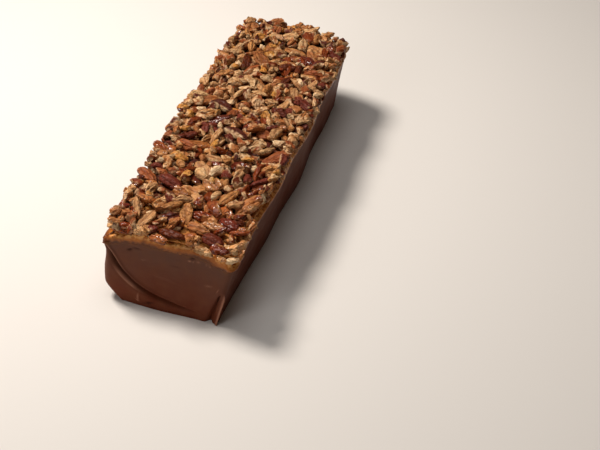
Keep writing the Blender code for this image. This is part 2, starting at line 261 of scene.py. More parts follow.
def plan_outline():
    """x, y, outward x and y, and distance past the near right corner's start of each plan point."""
    a, b, r = WIDTH / 2, LENGTH / 2, CORNER
    corners = ((a - r, r - b, -90), (a - r, b - r, 0), (r - a, b - r, 90), (r - a, r - b, 180))
    steps = (SIDE_STEPS, FAR_STEPS, SIDE_STEPS, NEAR_STEPS)
    points = []
    for index, (cx, cy, first) in enumerate(corners):
        for step in range(CORNER_STEPS + 1):
            nx, ny = heading(first + 90 * step / CORNER_STEPS)
            past = r * math.radians(90 * step / CORNER_STEPS) if index == 0 else AWAY
            points.append((cx + r * nx, cy + r * ny, nx, ny, past))
        ex, ey, _ = corners[(index + 1) % 4]
        nx, ny = heading(first + 90)
        for step in range(1, steps[index]):
            share = step / steps[index]
            x, y = cx + (ex - cx) * share + r * nx, cy + (ey - cy) * share + r * ny
            past = x - (a - r) if index == 3 else AWAY
            points.append((x, y, nx, ny, past))
    return points


def boundary_height(x, y):
    """Height of the wavy line where the fudge meets the caramel."""
    size, across, along, start = BOUNDARY_WAVE
    wave = size * math.sin(x / across + y / along + start)
    size, along, start = BOUNDARY_RIPPLE
    small = size * math.sin(y / along + start)
    corner = CORNER_DEPTH * ease(x, 5.0, 58.0) * ease(y, -150.0, -185.0)
    return CARAMEL_TOP - CARAMEL_DEPTH + wave + small - corner


def crease_line(x):
    """The crease's height on the near end, and its length for each millimetre across."""
    fall = math.exp(-(x - CREASE_LEFT) / CREASE_RUN)
    slope = CREASE_RISE * fall / CREASE_RUN
    return CREASE_FOOT + CREASE_RISE * fall, math.sqrt(1 + slope * slope)


def fold_relief(x, z):
    """How far the near end stands out at the fold that runs down from its upper left corner."""
    height, steepness = crease_line(x)
    below = (height - z) / steepness
    strength = 1.0 - ease(x, FOLD_FULL, FOLD_GONE)
    crest = LOBE_CREST * bump(below, LOBE_CREST_AT, LOBE_CREST_WIDTH)
    crest *= bump(x, LOBE_CREST_MIDDLE, LOBE_CREST_REACH)
    lobe = LOBE * ease(below, LOBE_START, LOBE_FULL) + crest
    width = GROOVE_ABOVE if below < GROOVE_BELOW else GROOVE_UNDER
    groove = GROOVE_DEPTH * bump(below, GROOVE_BELOW, width)
    rim = FLAP_RIM * bump(below, FLAP_RIM_AT, FLAP_RIM_WIDTH)
    return strength * (lobe - groove + rim)


def rib_line(z):
    """Where around the corner the slanting rib lies at this height."""
    return RIB_AT - RIB_SLANT * (1.0 - min(1.0, z / RIB_TOP))


def rib_relief(past, z):
    """How far the near right corner stands out at its thin rib, which ends in a small knob."""
    strength = 1.0 - ease(z, RIB_TOP - RIB_FADE, RIB_TOP)
    knob = RIB_KNOB * bump(z, RIB_KNOB_AT, RIB_KNOB_SPREAD)
    rib = (RIB + knob) * bump(past, rib_line(z), RIB_WIDTH)
    lowness = 1.0 - min(1.0, z / RIB_TOP)
    groove = RIB_GROOVE * bump(past, RIB_GROOVE_AT - RIB_GROOVE_RUN * lowness,
                               RIB_GROOVE_WIDTH * (1.0 + RIB_GROOVE_SPREAD * lowness))
    return strength * (rib - groove)


def round_under(z, radius):
    """How far a rounded lower edge draws in at this height."""
    if z >= radius:
        return 0.0
    return ROUND_SHARE * radius * (1.0 - z / radius) ** ROUND_POWER


def loaf_point(x, y, z):
    """Where a point of the plan lies on the leaning, hollowed loaf at height z."""
    across = x / (WIDTH / 2)
    down = max(0.0, 1.0 - z / CARAMEL_TOP)
    near = ease(y, -LENGTH / 2 + END_REACH, -LENGTH / 2)
    far = ease(y, LENGTH / 2 - END_REACH, LENGTH / 2)
    waves = (share * math.sin(y / length + start) for share, length, start in SIDE_WAVES)
    wave = SIDE_WAVE * sum(waves)
    if across > 0:
        moved = wave - (RIGHT_LEAN + RIGHT_LEAN_NEAR * near) * down**LEAN_CURVE
    else:
        under = LEFT_ROUND_FAR + (LEFT_ROUND - LEFT_ROUND_FAR) * near
        pinch = LEFT_PINCH * bump(z, PINCH_HEIGHT, PINCH_SPREAD) * near
        lean = (1.0 - near) * LEFT_LEAN * down
        moved = wave * LEFT_WAVE_SHARE - lean - pinch - round_under(z, under)
    end = 1.0 - across * across
    near_out = down * (NEAR_FOOT + NEAR_FOOT_SKEW * across) - (1.0 - down) * NEAR_HOLLOW * end
    far_out = FAR_CROWN - FAR_SKEW * across - FAR_ROUND * across * across
    return x + across * moved, y - near * near_out + far * far_out


def corner_flap(nx, y, z):
    """How far the left side stands out near the end: the flap's corner, over the tucked-in lobe."""
    near = -min(nx, 0.0) * (1.0 - ease(y, -LENGTH / 2 + CORNER, -LENGTH / 2 + RELIEF_REACH))
    flap = FLAP_REACH * ease(z, *FLAP_FROM) * (1.0 - ease(z, *FLAP_TO))
    return near * (flap - LOBE_TUCK * (1.0 - ease(z, *TUCK_TO)))


# Painted highlights on the rib, crest and flap edge: how pale and how wide, where over 1 widens the
# band
PALE_RIDGE = 1.9
PALE_RIB_WIDTH = 0.5
PALE_CREST_WIDTH = 0.6
PALE_CREST_REACH = 9.0
PALE_FLAP = 0.8
PALE_FLAP_AT = -0.5  # below the crease, so this is above it
PALE_FLAP_WIDTH = 0.8
PALE_FLAP_GONE = (-54.0, -38.0)
# the near marks' heights also set their colour: paler where raised, as painted highlight, and
# darker where cut in, as painted shade
MARK_CONTRAST = 1.5
NEAR_FACING = -0.3  # the outward y from which a wall counts as the near end


def scraped(plan, z):
    """From -1, painted shade in a cut-in mark, to 1, painted highlight on raised marks, the flap's
    edge, crest and rib.
    """
    x, _, _, ny, past = plan
    pale = PALE_RIDGE * bump(past, rib_line(z), PALE_RIB_WIDTH)
    pale *= 1.0 - ease(z, RIB_TOP - RIB_FADE, RIB_TOP)
    if ny > NEAR_FACING:
        return pale
    height, steepness = crease_line(x)
    below = (height - z) / steepness
    edge = PALE_FLAP * bump(below, PALE_FLAP_AT, PALE_FLAP_WIDTH)
    pale += edge * (1.0 - ease(x, *PALE_FLAP_GONE))
    crest = PALE_RIDGE * bump(below, LOBE_CREST_AT, PALE_CREST_WIDTH)
    pale += crest * bump(x, LOBE_CREST_MIDDLE, PALE_CREST_REACH)
    return max(-1.0, min(1.0, pale + MARK_CONTRAST * near_marks(x, z)))


def near_marks(x, z):
    """Nicks and scratches on the near end, standing out or cut in."""
    total = 0.0
    for mx, mz, length, width, turn, height in NEAR_MARKS:
        c, s = heading(turn)
        dx, dz = x - mx, z - mz
        total += height * bump(dx * c + dz * s, 0.0, length) * bump(dz * c - dx * s, 0.0, width)
    return total


WALL_ROUGH = ((0.22, 17.0, 7.7),)
DRAG_ROUGH = ((0.16, 26.0, 3.1),)  # the drag lines of the cutting and the frame
DRAG_FLATTEN = 5.0  # they are this much longer than high
WALL_DROP = 0.1  # the mean of both lies this far in
FLAT_CUT = -0.9  # the outward y from which the near end shows its marks


def side_point(plan, z, inset=0.0, marks=0.0):
    """The loaf's surface at a plan point and a height, with the near end's relief."""
    x, y, nx, ny, past = plan
    wx, wy = loaf_point(x, y, z)
    out = -inset
    near = 1.0 - ease(y, -LENGTH / 2, -LENGTH / 2 + RELIEF_REACH)
    if near > 0.0:
        out += near * fold_relief(x, z)
    out += rib_relief(past, z) + corner_flap(nx, y, z)
    if marks:
        if ny < FLAT_CUT:
            out += marks * near_marks(x, z)
        drag = rough(x, y, z * DRAG_FLATTEN, DRAG_ROUGH)
        out += marks * (rough(x, y, z, WALL_ROUGH) + drag - WALL_DROP)
    return wx + nx * out, wy + ny * out


def put(name, data):
    """A new object of this mesh, lamp or camera in the scene."""
    thing = bpy.data.objects.new(name, data)
    bpy.context.scene.collection.objects.link(thing)
    return thing


def mesh_piece(name, points, faces, material, attributes=None):
    """A smooth mesh object from points in millimetres, with these float attributes."""
    mesh = bpy.data.meshes.new(name)
    mesh.from_pydata([metres(point) for point in points], [], faces)
    mesh.polygons.foreach_set("use_smooth", [True] * len(mesh.polygons))
    for key, values in (attributes or {}).items():
        mesh.attributes.new(key, "FLOAT", "POINT").data.foreach_set("value", values)
    mesh.materials.append(material)
    mesh.update()
    return put(name, mesh)


def ring_faces(rings, columns):
    """Quads between rings of as many points, closed with a flat face at each end."""
    faces = []
    for ring in range(rings - 1):
        low, high = ring * columns, (ring + 1) * columns
        for index in range(columns):
            after = (index + 1) % columns
            faces.append((low + index, low + after, high + after, high + index))
    faces.append(tuple(reversed(range(columns))))
    faces.append(tuple((rings - 1) * columns + index for index in range(columns)))
    return faces


def towards_spine(x, y, share):
    """A plan point moved this share of the way to the line down the loaf's middle."""
    spine = min(max(y, WIDTH / 2 - LENGTH / 2), LENGTH / 2 - WIDTH / 2)
    return x * (1 - share), y + (spine - y) * share


def ring_heights(x, y):
    """Heights of the fudge's rings at one plan point, close together about the crease."""
    top = boundary_height(x, y) - GAP / 2
    height, steepness = crease_line(x)
    plain = max(ease(x, PLAIN_FROM, PLAIN_FULL), ease(y, -LENGTH / 2, PLAIN_REACH - LENGTH / 2))
    height += (PLAIN_HEIGHT - height) * plain
    steepness += (1.0 - steepness) * plain
    marks = [height - below * steepness for below in CREASE_RINGS]
    low = [max(marks[0], 2.0) * step / LOW_RINGS for step in range(LOW_RINGS)]
    high = [marks[-1] + (top - marks[-1]) * step / HIGH_RINGS for step in range(1, HIGH_RINGS + 1)]
    heights = low + marks + high
    last = len(heights) - 1
    for index in range(last + 1):
        heights[index] = max(heights[index], index * LEAST_RISE)
        heights[index] = min(heights[index], top - (last - index) * LEAST_RISE)
    return heights


MARKS_FULL = 3.0  # the wall's unevenness fades in from the flat base up to here
FUDGE_TOPS = (0.1, 0.3)  # rings of its top, under the caramel, as shares of the way to the middle


def make_fudge(plans, material):
    """The chocolate body, from the flat base up to the wavy line below the caramel."""
    columns, pale = [], []
    for plan in plans:
        heights = ring_heights(plan[0], plan[1])
        columns.append([(*side_point(plan, z, marks=ease(z, 0.0, MARKS_FULL)), z) for z in heights])
        pale.append([scraped(plan, z) for z in heights])
    points = [point for ring in zip(*columns) for point in ring]
    pale = [value for ring in zip(*pale) for value in ring]
    tops = [boundary_height(plan[0], plan[1]) for plan in plans]
    below = [tops[index % len(plans)] - point[2] for index, point in enumerate(points)]
    for share in FUDGE_TOPS:
        for x, y, _, _, _ in plans:
            wx, wy = loaf_point(*towards_spine(x, y, share), CARAMEL_TOP - CARAMEL_DEPTH)
            points.append((wx, wy, CARAMEL_TOP - CARAMEL_DEPTH - GAP / 2))
            below.append(0.0)
            pale.append(0.0)
    faces = ring_faces(len(columns[0]) + len(FUDGE_TOPS), len(plans))
    return mesh_piece("fudge_loaf", points, faces, material, {"below": below, "scraped": pale})


RIM_LEVEL = 65.3
RIM_ROUGH = ((2.4, 9.0, 1.9), (1.3, 3.6, 5.3))
RIM_CREEP = 3.4  # how far it creeps up on the cut end, and where
RIM_CREEP_AT = -27.0
RIM_CREEP_WIDTH = 13.0
RIM_RIGHT_DROP = 0.6  # how much lower it lies there on the right, all along and at the corners
RIM_NEAR_DROP = 0.8
RIM_CORNER_DROP = 2.6


def caramel_rim(x, y):
    """Height of the caramel's uneven upper edge, where it creeps up between the outer nuts."""
    near = ease(y, -170.0, -185.0)
    creep = RIM_CREEP * bump(x, RIM_CREEP_AT, RIM_CREEP_WIDTH)
    creep -= RIM_RIGHT_DROP * ease(x, 15.0, 40.0)
    rim = rough(x, y, 0, RIM_ROUGH, RIM_LEVEL) + near * creep
    return rim - RIM_CORNER_DROP * near * ease(abs(x), 48.0, 61.0) - RIM_NEAR_DROP * near


# The caramel's wall from foot to edge: share of its height, and inset
CARAMEL_WALL = (
    (0.0, 0.02), (0.05, -0.1), (0.12, -0.2), (0.22, -0.3), (0.34, -0.42), (0.46, -0.45),
    (0.58, -0.35), (0.7, -0.1), (0.81, 0.35), (0.9, 0.95), (0.96, 1.6), (1.0, 2.5),
)
# and the rings of its top, as shares of the way to the middle
CARAMEL_TOPS = (0.05, 0.08, 0.12, 0.17, 0.23, 0.3, 0.38, 0.47, 0.57, 0.68, 0.8, 0.92, 0.985)
FOOT_DROP = 1.2  # its smeared foot reaches this far below the fudge's top, less its smear
FOOT_ROUGH = ((1.0, 9.0, 2.2), (0.7, 3.5, 8.1))
SMEAR_MOST = 0.8
LUMP = 0.8
LUMP_SIZE = 6.0
LUMP_SEED = 4.4
LUMP_CUT = 0.4  # how much less the cut end is lumpy
RIGHT_SHOULDER = 3.0  # its edge is rounder along the right side, where the nuts stop short
CUT_FLAT = 0.6  # the cut end is flatter than the poured sides
RIGHT_BULGE = 2.0  # and it swells out there near the cut end
WEDGE = 5.0  # how far the near left corner is drawn in at the top
WEDGE_SHARE = 0.1  # and the rings of its top, as a share of the way to the middle
TOP_LEVEL = 65.7
TOP_ROUGH = ((0.9, 7.0, 6.6),)
TOP_REACH = 0.16  # the share of the way in at which the rim has levelled out
# How dull the caramel is, as millimetres nearer to its brown foot
LEFT_DULL = 2.2  # on the left of the cut end
LEFT_DULL_LOSS = 0.8  # the share of that which is gone near the edge
WEDGE_DULL = 6.0
WEDGE_CLEAR = 1.0
WEDGE_TOP_DULL = 5.5
# painted highlight: the right side is drawn this many millimetres further from its brown foot
RIGHT_HIGHLIGHT = 1.6


def corner_wedge(x, y):
    """From 0 to 1 towards the near left corner, where the caramel is a sharp wedge on the flap."""
    return ease(x, -50.0, -59.0) * ease(y, -174.0, -188.0)


def ring_point(plan, share):
    """A plan point this share of the way in, and further in at the wedge."""
    x, y = plan[:2]
    return towards_spine(x, y, share + WEDGE_SHARE * (1.0 - share) * corner_wedge(x, y))


def caramel_wall_point(plan, foot, share, inset):
    """A point of the caramel's wall above its foot, and how far up from the foot it looks."""
    x, y, _, ny, _ = plan
    cut, right, wedge = max(0.0, -ny), ease(x, 50.0, 60.0), corner_wedge(x, y)
    z = foot + share * (caramel_rim(x, y) - foot)
    inset = inset * (1.0 - CUT_FLAT * cut) + WEDGE * share * wedge
    lump = (LUMP - LUMP_CUT * cut) * ripple(x, y, z, LUMP_SIZE, LUMP_SEED) * share
    lump -= RIGHT_SHOULDER * right * ease(share, 0.3, 1.0)
    lump += RIGHT_BULGE * right * bump(share, 0.3, 0.25) * (1.0 - ease(y, -70.0, -20.0))
    dull = LEFT_DULL * ease(x, -15.0, -55.0) * ease(y, -180.0, -190.0)
    dull *= 1.0 - LEFT_DULL_LOSS * ease(share, 0.45, 0.85)
    dull += (WEDGE_DULL * share - WEDGE_CLEAR) * wedge
    wx, wy = side_point(plan, min(z, CARAMEL_TOP), inset - lump)
    # how far up it looks, less the dull share, plus the right side's painted highlight
    return (wx, wy, z), z - foot - dull + RIGHT_HIGHLIGHT * right * ease(share, 0.2, 0.5)


def make_caramel(plans, material):
    """The caramel: a soft bulging wall with a smeared foot, and an uneven top under the nuts."""
    points, rise, feet = [], [], []
    for x, y, _, _, _ in plans:
        smear = min(SMEAR_MOST, rough(x, y, 0, FOOT_ROUGH))
        feet.append(boundary_height(x, y) - FOOT_DROP + smear)
    for share, inset in CARAMEL_WALL:
        for plan, foot in zip(plans, feet):
            point, up = caramel_wall_point(plan, foot, share, inset)
            points.append(point)
            rise.append(up)
    for share in CARAMEL_TOPS:
        for plan in plans:
            x, y = ring_point(plan, share)
            wx, wy = loaf_point(x, y, CARAMEL_TOP)
            rim = caramel_rim(*plan[:2])
            level = rough(x, y, 0, TOP_ROUGH, TOP_LEVEL)
            z = rim + (level - rim) * ease(share, 0.0, TOP_REACH)
            points.append((wx, wy, z))
            rise.append(z - CARAMEL_TOP + CARAMEL_DEPTH - WEDGE_TOP_DULL * corner_wedge(*plan[:2]))
    faces = ring_faces(len(CARAMEL_WALL) + len(CARAMEL_TOPS), len(plans))
    return mesh_piece("caramel", points, faces, material, {"rise": rise})


# The crumb bed's rings, and its crumbs of 3 and 6 mm
BED_STEPS = 26
BED_SHARES = (0.045, 0.06, *(0.08 + 0.9 * step / BED_STEPS for step in range(BED_STEPS + 1)))
BED_LEVEL = 66.3
BED_RISE = 0.9
BED_ROUGH = ((1.1, 3.2, 9.2), (0.9, 6.5, 1.2))
# golden caramel pooling, drawn lighter than it is as painted light against the nuts' shade
NEAR_POOL_AND_LIGHT = 0.75  # how much caramel pools near the cut end
WEDGE_POOL_AND_LIGHT = 0.5  # the share of it that the wedge lacks


def make_bed(plans, material):
    """A low bed of caramel and nut crumbs that the larger pieces sit in."""
    points, pooled = [], []
    for number, share in enumerate(BED_SHARES):
        for plan in plans[::2]:
            x, y = ring_point(plan, share)
            wx, wy = loaf_point(x, y, CARAMEL_TOP)
            z = CRUST_SEAT
            if number:
                crumbs = rough(x, y, 0, BED_ROUGH)
                z = max(z, BED_LEVEL + crumbs + BED_RISE * ease(share, 0.04, 0.2))
            points.append((wx, wy, z))
            # where caramel pools, at the rim and near the cut end, painted lighter against the
            # nuts' shade
            pool_light_share = max(1.0 - ease(share, 0.05, 0.13), NEAR_POOL_AND_LIGHT * (1.0 - ease(wy, -180.0, -110.0)))
            pooled.append(pool_light_share * (1.0 - WEDGE_POOL_AND_LIGHT * corner_wedge(*plan[:2])))
    faces = ring_faces(len(BED_SHARES), len(plans[::2]))
    return mesh_piece("crumb_bed", points, faces, material, {"pooled": pooled})


def pecan_places():
    """Every piece of the part: kind, x, y, height, turn, tilt, roll, length, width, thickness."""
    rng = random.Random(PECAN_SEED)
    taken, places = [], []

    def room(discs, crowd):
        """Whether no disc of a new piece comes nearer to another than this share of their radii."""
        if not taken:
            return True
        others = np.array(taken)
        for x, y, radius in discs:
            apart = np.hypot(others[:, 0] - x, others[:, 1] - y)
            if (apart < crowd * (others[:, 2] + radius)).any():
                return False
        return True

    def lay(kind, x, y, turn, length, width, thick, crowd, rise):
        """Puts a piece down where there is room, and says whether there was."""
        reach = (length - width) / 2
        dx, dy = (reach * part for part in heading(turn))
        discs = [(x + share * dx, y + share * dy, width / 2) for share in (-1, 0, 1)]
        if not room(discs, crowd):
            return False
        taken.extend(discs)
        if kind != "half" and rng.random() < STEEP_SHARE:
            tilt = rng.choice((-1, 1)) * rng.uniform(*STEEP_TILT)
        else:
            tilt = rng.gauss(0, TILT)
        roll = rng.gauss(0, ROLL)
        height = CRUST_SEAT + thick * rng.uniform(*SEAT) + rise
        places.append((kind, x, y, height, turn, tilt, roll, length, width, thick))
        return True

    for kind, x, y, turn, length, _, _ in LAID_PECANS:
        _, width, thick = PECAN_SIZES[kind]
        lay(kind, x, y, turn, length, width, thick, 0.0, LAID_RISE)
    for kind, length, width, thick, count, crowd in PECAN_KINDS:
        made = 0
        for _ in range(PECAN_TRIES):
            scale = rng.uniform(*SIZE_SPREAD)
            across = width * scale * rng.uniform(*SIZE_SPREAD)
            turn = rng.uniform(0, 360)
            reach = (length * scale - across) / 2
            inset_x, inset_y = (EDGE_INSET * width + reach * abs(part) for part in heading(turn))
            u = rng.uniform(inset_x - WIDTH / 2, WIDTH / 2 - inset_x)
            v = rng.uniform(inset_y - LENGTH / 2, LENGTH / 2 - inset_y)
            x, y = loaf_point(u, v, CARAMEL_TOP)
            rise = rng.uniform(*RISE)
            made += lay(kind, x, y, turn, length * scale, across, thick * scale, crowd, rise)
            if made == count:
                break
    return places


# Skin tones from fresh to well roasted, and how often each comes up
TONES = {
    "cream": ("E9CCA2", 3),
    "straw": ("D5AC7A", 7),
    "tan": ("C69868", 16),
    "gold": ("D09449", 6),
    "honey": ("C08851", 16),
    "amber": ("B07444", 17),
    "ginger": ("9D5A33", 14),
    "chestnut": ("803B16", 11),
    "cocoa": ("602A0F", 6),
    "wine": ("743628", 5),
    "mahogany": ("662E1E", 4),
    "plum": ("54291E", 3),
}

# How each kind of piece comes apart: its ends ("tip" as it grew, "snap" broken), rings along it,
# sides, furrows as (angle, width, depth), how many flat breaks, and unevenness
PECAN_FORMS = {
    "half": (
        (("tip", "tip"), 14, 14, ((62, 8, 0.4), (118, 8, 0.4), (270, 15, 0.5)), 0, 0.13),
        (("tip", "tip"), 14, 14,
         ((56, 8, 0.34), (124, 9, 0.42), (270, 17, 0.45), (235, 9, 0.2)), 0, 0.16),
        (("tip", "tip"), 14, 14,
         ((90, 9, 0.44), (48, 7, 0.2), (136, 7, 0.24), (270, 17, 0.45)), 0, 0.15),
        (("tip", "snap"), 13, 14, ((64, 8, 0.4), (113, 9, 0.42), (270, 17, 0.45)), 0, 0.16),
    ),
    "broken": (
        (("tip", "snap"), 11, 11, ((100, 9, 0.36), (268, 15, 0.42)), 1, 0.24),
        (("snap", "snap"), 10, 11, ((65, 8, 0.32),), 2, 0.26),
        (("tip", "tip"), 11, 11, ((112, 9, 0.36), (270, 16, 0.4)), 0, 0.24),
        (("tip", "snap"), 11, 11, ((70, 8, 0.34), (265, 14, 0.4)), 2, 0.26),
        (("snap", "tip"), 11, 11, ((95, 10, 0.4), (275, 14, 0.3)), 1, 0.28),
        (("snap", "snap"), 10, 11, ((120, 8, 0.32),), 2, 0.28),
        (("tip", "snap"), 11, 11, ((84, 10, 0.42), (40, 8, 0.25), (140, 8, 0.25)), 1, 0.24),
    ),
    "chunk": (
        (("snap", "snap"), 6, 9, ((80, 12, 0.34),), 2, 0.32),
        (("tip", "snap"), 7, 9, ((105, 12, 0.36),), 1, 0.32),
        (("snap", "snap"), 6, 9, ((120, 10, 0.26),), 3, 0.36),
        (("snap", "tip"), 7, 9, ((65, 12, 0.32), (250, 14, 0.3)), 2, 0.34),
        (("tip", "tip"), 7, 9, ((90, 12, 0.38),), 2, 0.32),
        (("snap", "snap"), 6, 9, (), 4, 0.38),
        (("tip", "snap"), 7, 9, ((75, 10, 0.3), (125, 10, 0.3)), 2, 0.34),
    ),
    "chip": (
        (("snap", "snap"), 3, 7, ((80, 20, 0.25),), 1, 0.36),
        (("tip", "snap"), 3, 7, (), 2, 0.4),
        (("tip", "snap"), 4, 7, ((110, 18, 0.25),), 1, 0.36),
        (("snap", "snap"), 3, 7, (), 2, 0.42),
    ),
}


def colour(code):
    """Linear red, green, blue and alpha of an sRGB hex value."""
    parts = [int(code[at:at + 2], 16) / 255 for at in (0, 2, 4)]
    return (*(p / 12.92 if p <= 0.04045 else ((p + 0.055) / 1.055) ** 2.4 for p in parts), 1.0)


FURROW_EDGES = (-1.3, 0, 1.3)  # where a furrow has points, in its widths
FURROW_CLEAR = 1.7  # no other points lie this near to it
BREAK_AT = (0.42, 0.72)  # how far from the middle a flat break lies
BREAK_ROUGH = 0.12
UNDERSIDE = 0.75  # the underside is flatter
SNAP_ROUGH = 0.07
SNAP_RIM = 0.72  # the broken face's inner ring


def angle_apart(a, b):
    """The angle between two directions in degrees, up to 180."""
    return abs((a - b + 180) % 360 - 180)


def furrowed_angles(sides, furrows):
    """Even angles round a piece, and those of its furrows in place of the ones near them."""
    even = [360 * (side + 0.5) / sides for side in range(sides)]
    kept = [a for a in even
            if all(angle_apart(a, at) > FURROW_CLEAR * width for at, width, _ in furrows)]
    edges = [at + way * width for at, width, _ in furrows for way in FURROW_EDGES]
    return sorted(a % 360 for a in kept + edges)


def flat_breaks(rng, count):
    """The planes that a piece broke along, as outward directions and distances."""
    planes = []
    for _ in range(count):
        way = Vector((*heading(rng.uniform(0, 360)), rng.uniform(-0.3, 0.5))).normalized()
        planes.append((way, rng.uniform(*BREAK_AT)))
    return planes


def pecan_form(name, form, size, seed):
    """A pecan piece of length, width and thickness 1, with skin, furrow and grain on its points."""
    (low_end, high_end), rings, sides, furrows, breaks, uneven = form
    rng = random.Random(seed)
    shift = Vector((seed * 3.7, seed * 1.3, seed * 2.1))
    slants = [(rng.uniform(-0.4, 0.4), rng.uniform(-0.35, 0.35)) for _ in range(2)]
    angles = furrowed_angles(sides, furrows)
    sides = len(angles)
    arch, sway, taper = (rng.uniform(*ends) for ends in ((0.06, 0.2), (-0.14, 0.14), (-0.22, 0.22)))
    cuts = flat_breaks(rng, breaks)
    bm = bmesh.new()
    skin_layer = bm.verts.layers.float.new("skin")
    furrow_layer = bm.verts.layers.float.new("furrow")
    grain_layer = bm.verts.layers.float_vector.new("grain")

    def point(x, y, z, skin, furrow):
        """A point of the piece, which here reaches from -1 to 1 on each axis."""
        vert = bm.verts.new((x / 2, y / 2, z / 2))
        vert[skin_layer], vert[furrow_layer] = skin, furrow
        vert[grain_layer] = Vector((x * size[0], y * size[1], z * size[2])) / 2 + shift * 10
        return vert

    def join(low, high):
        """A band of faces between two loops, or up to a tip."""
        for side in range(sides):
            after = (side + 1) % sides
            top = (high,) if isinstance(high, bmesh.types.BMVert) else (high[after], high[side])
            bm.faces.new((low[side], low[after], *top)).smooth = True

    loops = []
    for ring in range(rings + 1):
        u = -1 + 2 * ring / rings
        if low_end == high_end == "tip":
            u = -math.cos(math.pi * ring / rings)
        end, slant = (low_end, slants[0]) if u < 0 else (high_end, slants[1])
        full = 1 - 0.32 * abs(u) ** 3
        if end == "tip":
            full = max(0.0, 1 - (abs(u) * 0.985) ** 2.1) ** 0.56
        loop = []
        for angle in angles:
            cut = sum(depth * bump(angle_apart(angle, at), 0, width)
                      for at, width, depth in furrows) * (1 - abs(u) ** 4)
            c, s = heading(angle)
            wobble = 1.3 * noise.noise(Vector((u * 1.6, c, s)) + shift)
            knob = 0.9 * noise.noise(Vector((u * 5.0, c * 2.2, s * 2.2)) + shift)
            reach = full * (0.96 - cut + uneven * (wobble + knob)) * (1 + taper * u)
            y, z = reach * c, reach * s
            if z < 0:
                z *= UNDERSIDE
            x = u + (slant[0] * y + slant[1] * z) * abs(u) ** 3 * (end == "snap")
            if end == "snap" and abs(u) > 0.99:
                x += rng.uniform(-SNAP_ROUGH, SNAP_ROUGH)
            spot, skin = Vector((x, y, z)), 1.0
            for way, distance in cuts:
                over = spot.dot(way) - distance
                if over > 0:
                    spot -= (over - BREAK_ROUGH * noise.noise(spot * 3 + shift)) * way
                    skin = 0.0
            x, y, z = spot
            loop.append(point(x, y + sway * u * u, z - arch * u * u, skin, min(1.0, cut * 3)))
        loops.append(loop)
    for low, high in zip(loops, loops[1:]):
        join(low, high)
    for loop, end, way in ((loops[0], low_end, -1), (loops[-1], high_end, 1)):
        middle = sum((vert.co for vert in loop), Vector()) / sides * 2
        lift, skin = 0.02, 1.0
        if end == "snap":
            inner = []
            for vert in loop:
                at = middle.lerp(vert.co * 2, SNAP_RIM)
                inner.append(point(at.x + rng.uniform(-0.09, 0.05) * way, at.y, at.z, 0.0, 0.0))
            join(loop, inner)
            for side in range(sides):
                bm.edges.get((loop[side], loop[(side + 1) % sides])).smooth = False
            loop, lift, skin = inner, rng.uniform(-0.12, 0.02), 0.0
        join(loop, point(middle.x + lift * way, middle.y, middle.z, skin, 0.0))
    bmesh.ops.recalc_face_normals(bm, faces=bm.faces)
    mesh = bpy.data.meshes.new(name)
    bm.to_mesh(mesh)
    bm.free()
    return bpy.data.objects.new(name, mesh)


def half_height(tilt, roll, length, width, thick):
    """How far a tilted and rolled piece reaches above its middle."""
    (ct, st), (cr, sr) = heading(tilt), heading(roll)
    return math.sqrt((length * st) ** 2 + (width * ct * sr) ** 2 + (thick * ct * cr) ** 2) / 2


CELLS = (150, 420)  # the height map's cells of 1 mm, across and along
MIDDLE = (75, 210)
BED_TOP = 0.6  # how far the crumb bed fills the crust's seat
CORE = 0.8  # the share of a piece's length and width that is felt under the next one
KEPT_CORE = 0.8
BELLY_UP = 0.4  # how many pieces show their grooved belly
STRENGTH = (0.70, 1.04)  # how light a piece's tone is drawn
NEAR_GAIN = 0.17
FAR_LOSS = 0.05
FAR = (20.0, 120.0)
# Caramel syrup lies over many pieces near the cut end, more so on the right, and fades out along y
GLAZED = (-150.0, -105.0)
GLAZE_ODDS = 0.13
NEAR_GLAZE_LEFT = 0.18
NEAR_GLAZE_RIGHT = 0.5


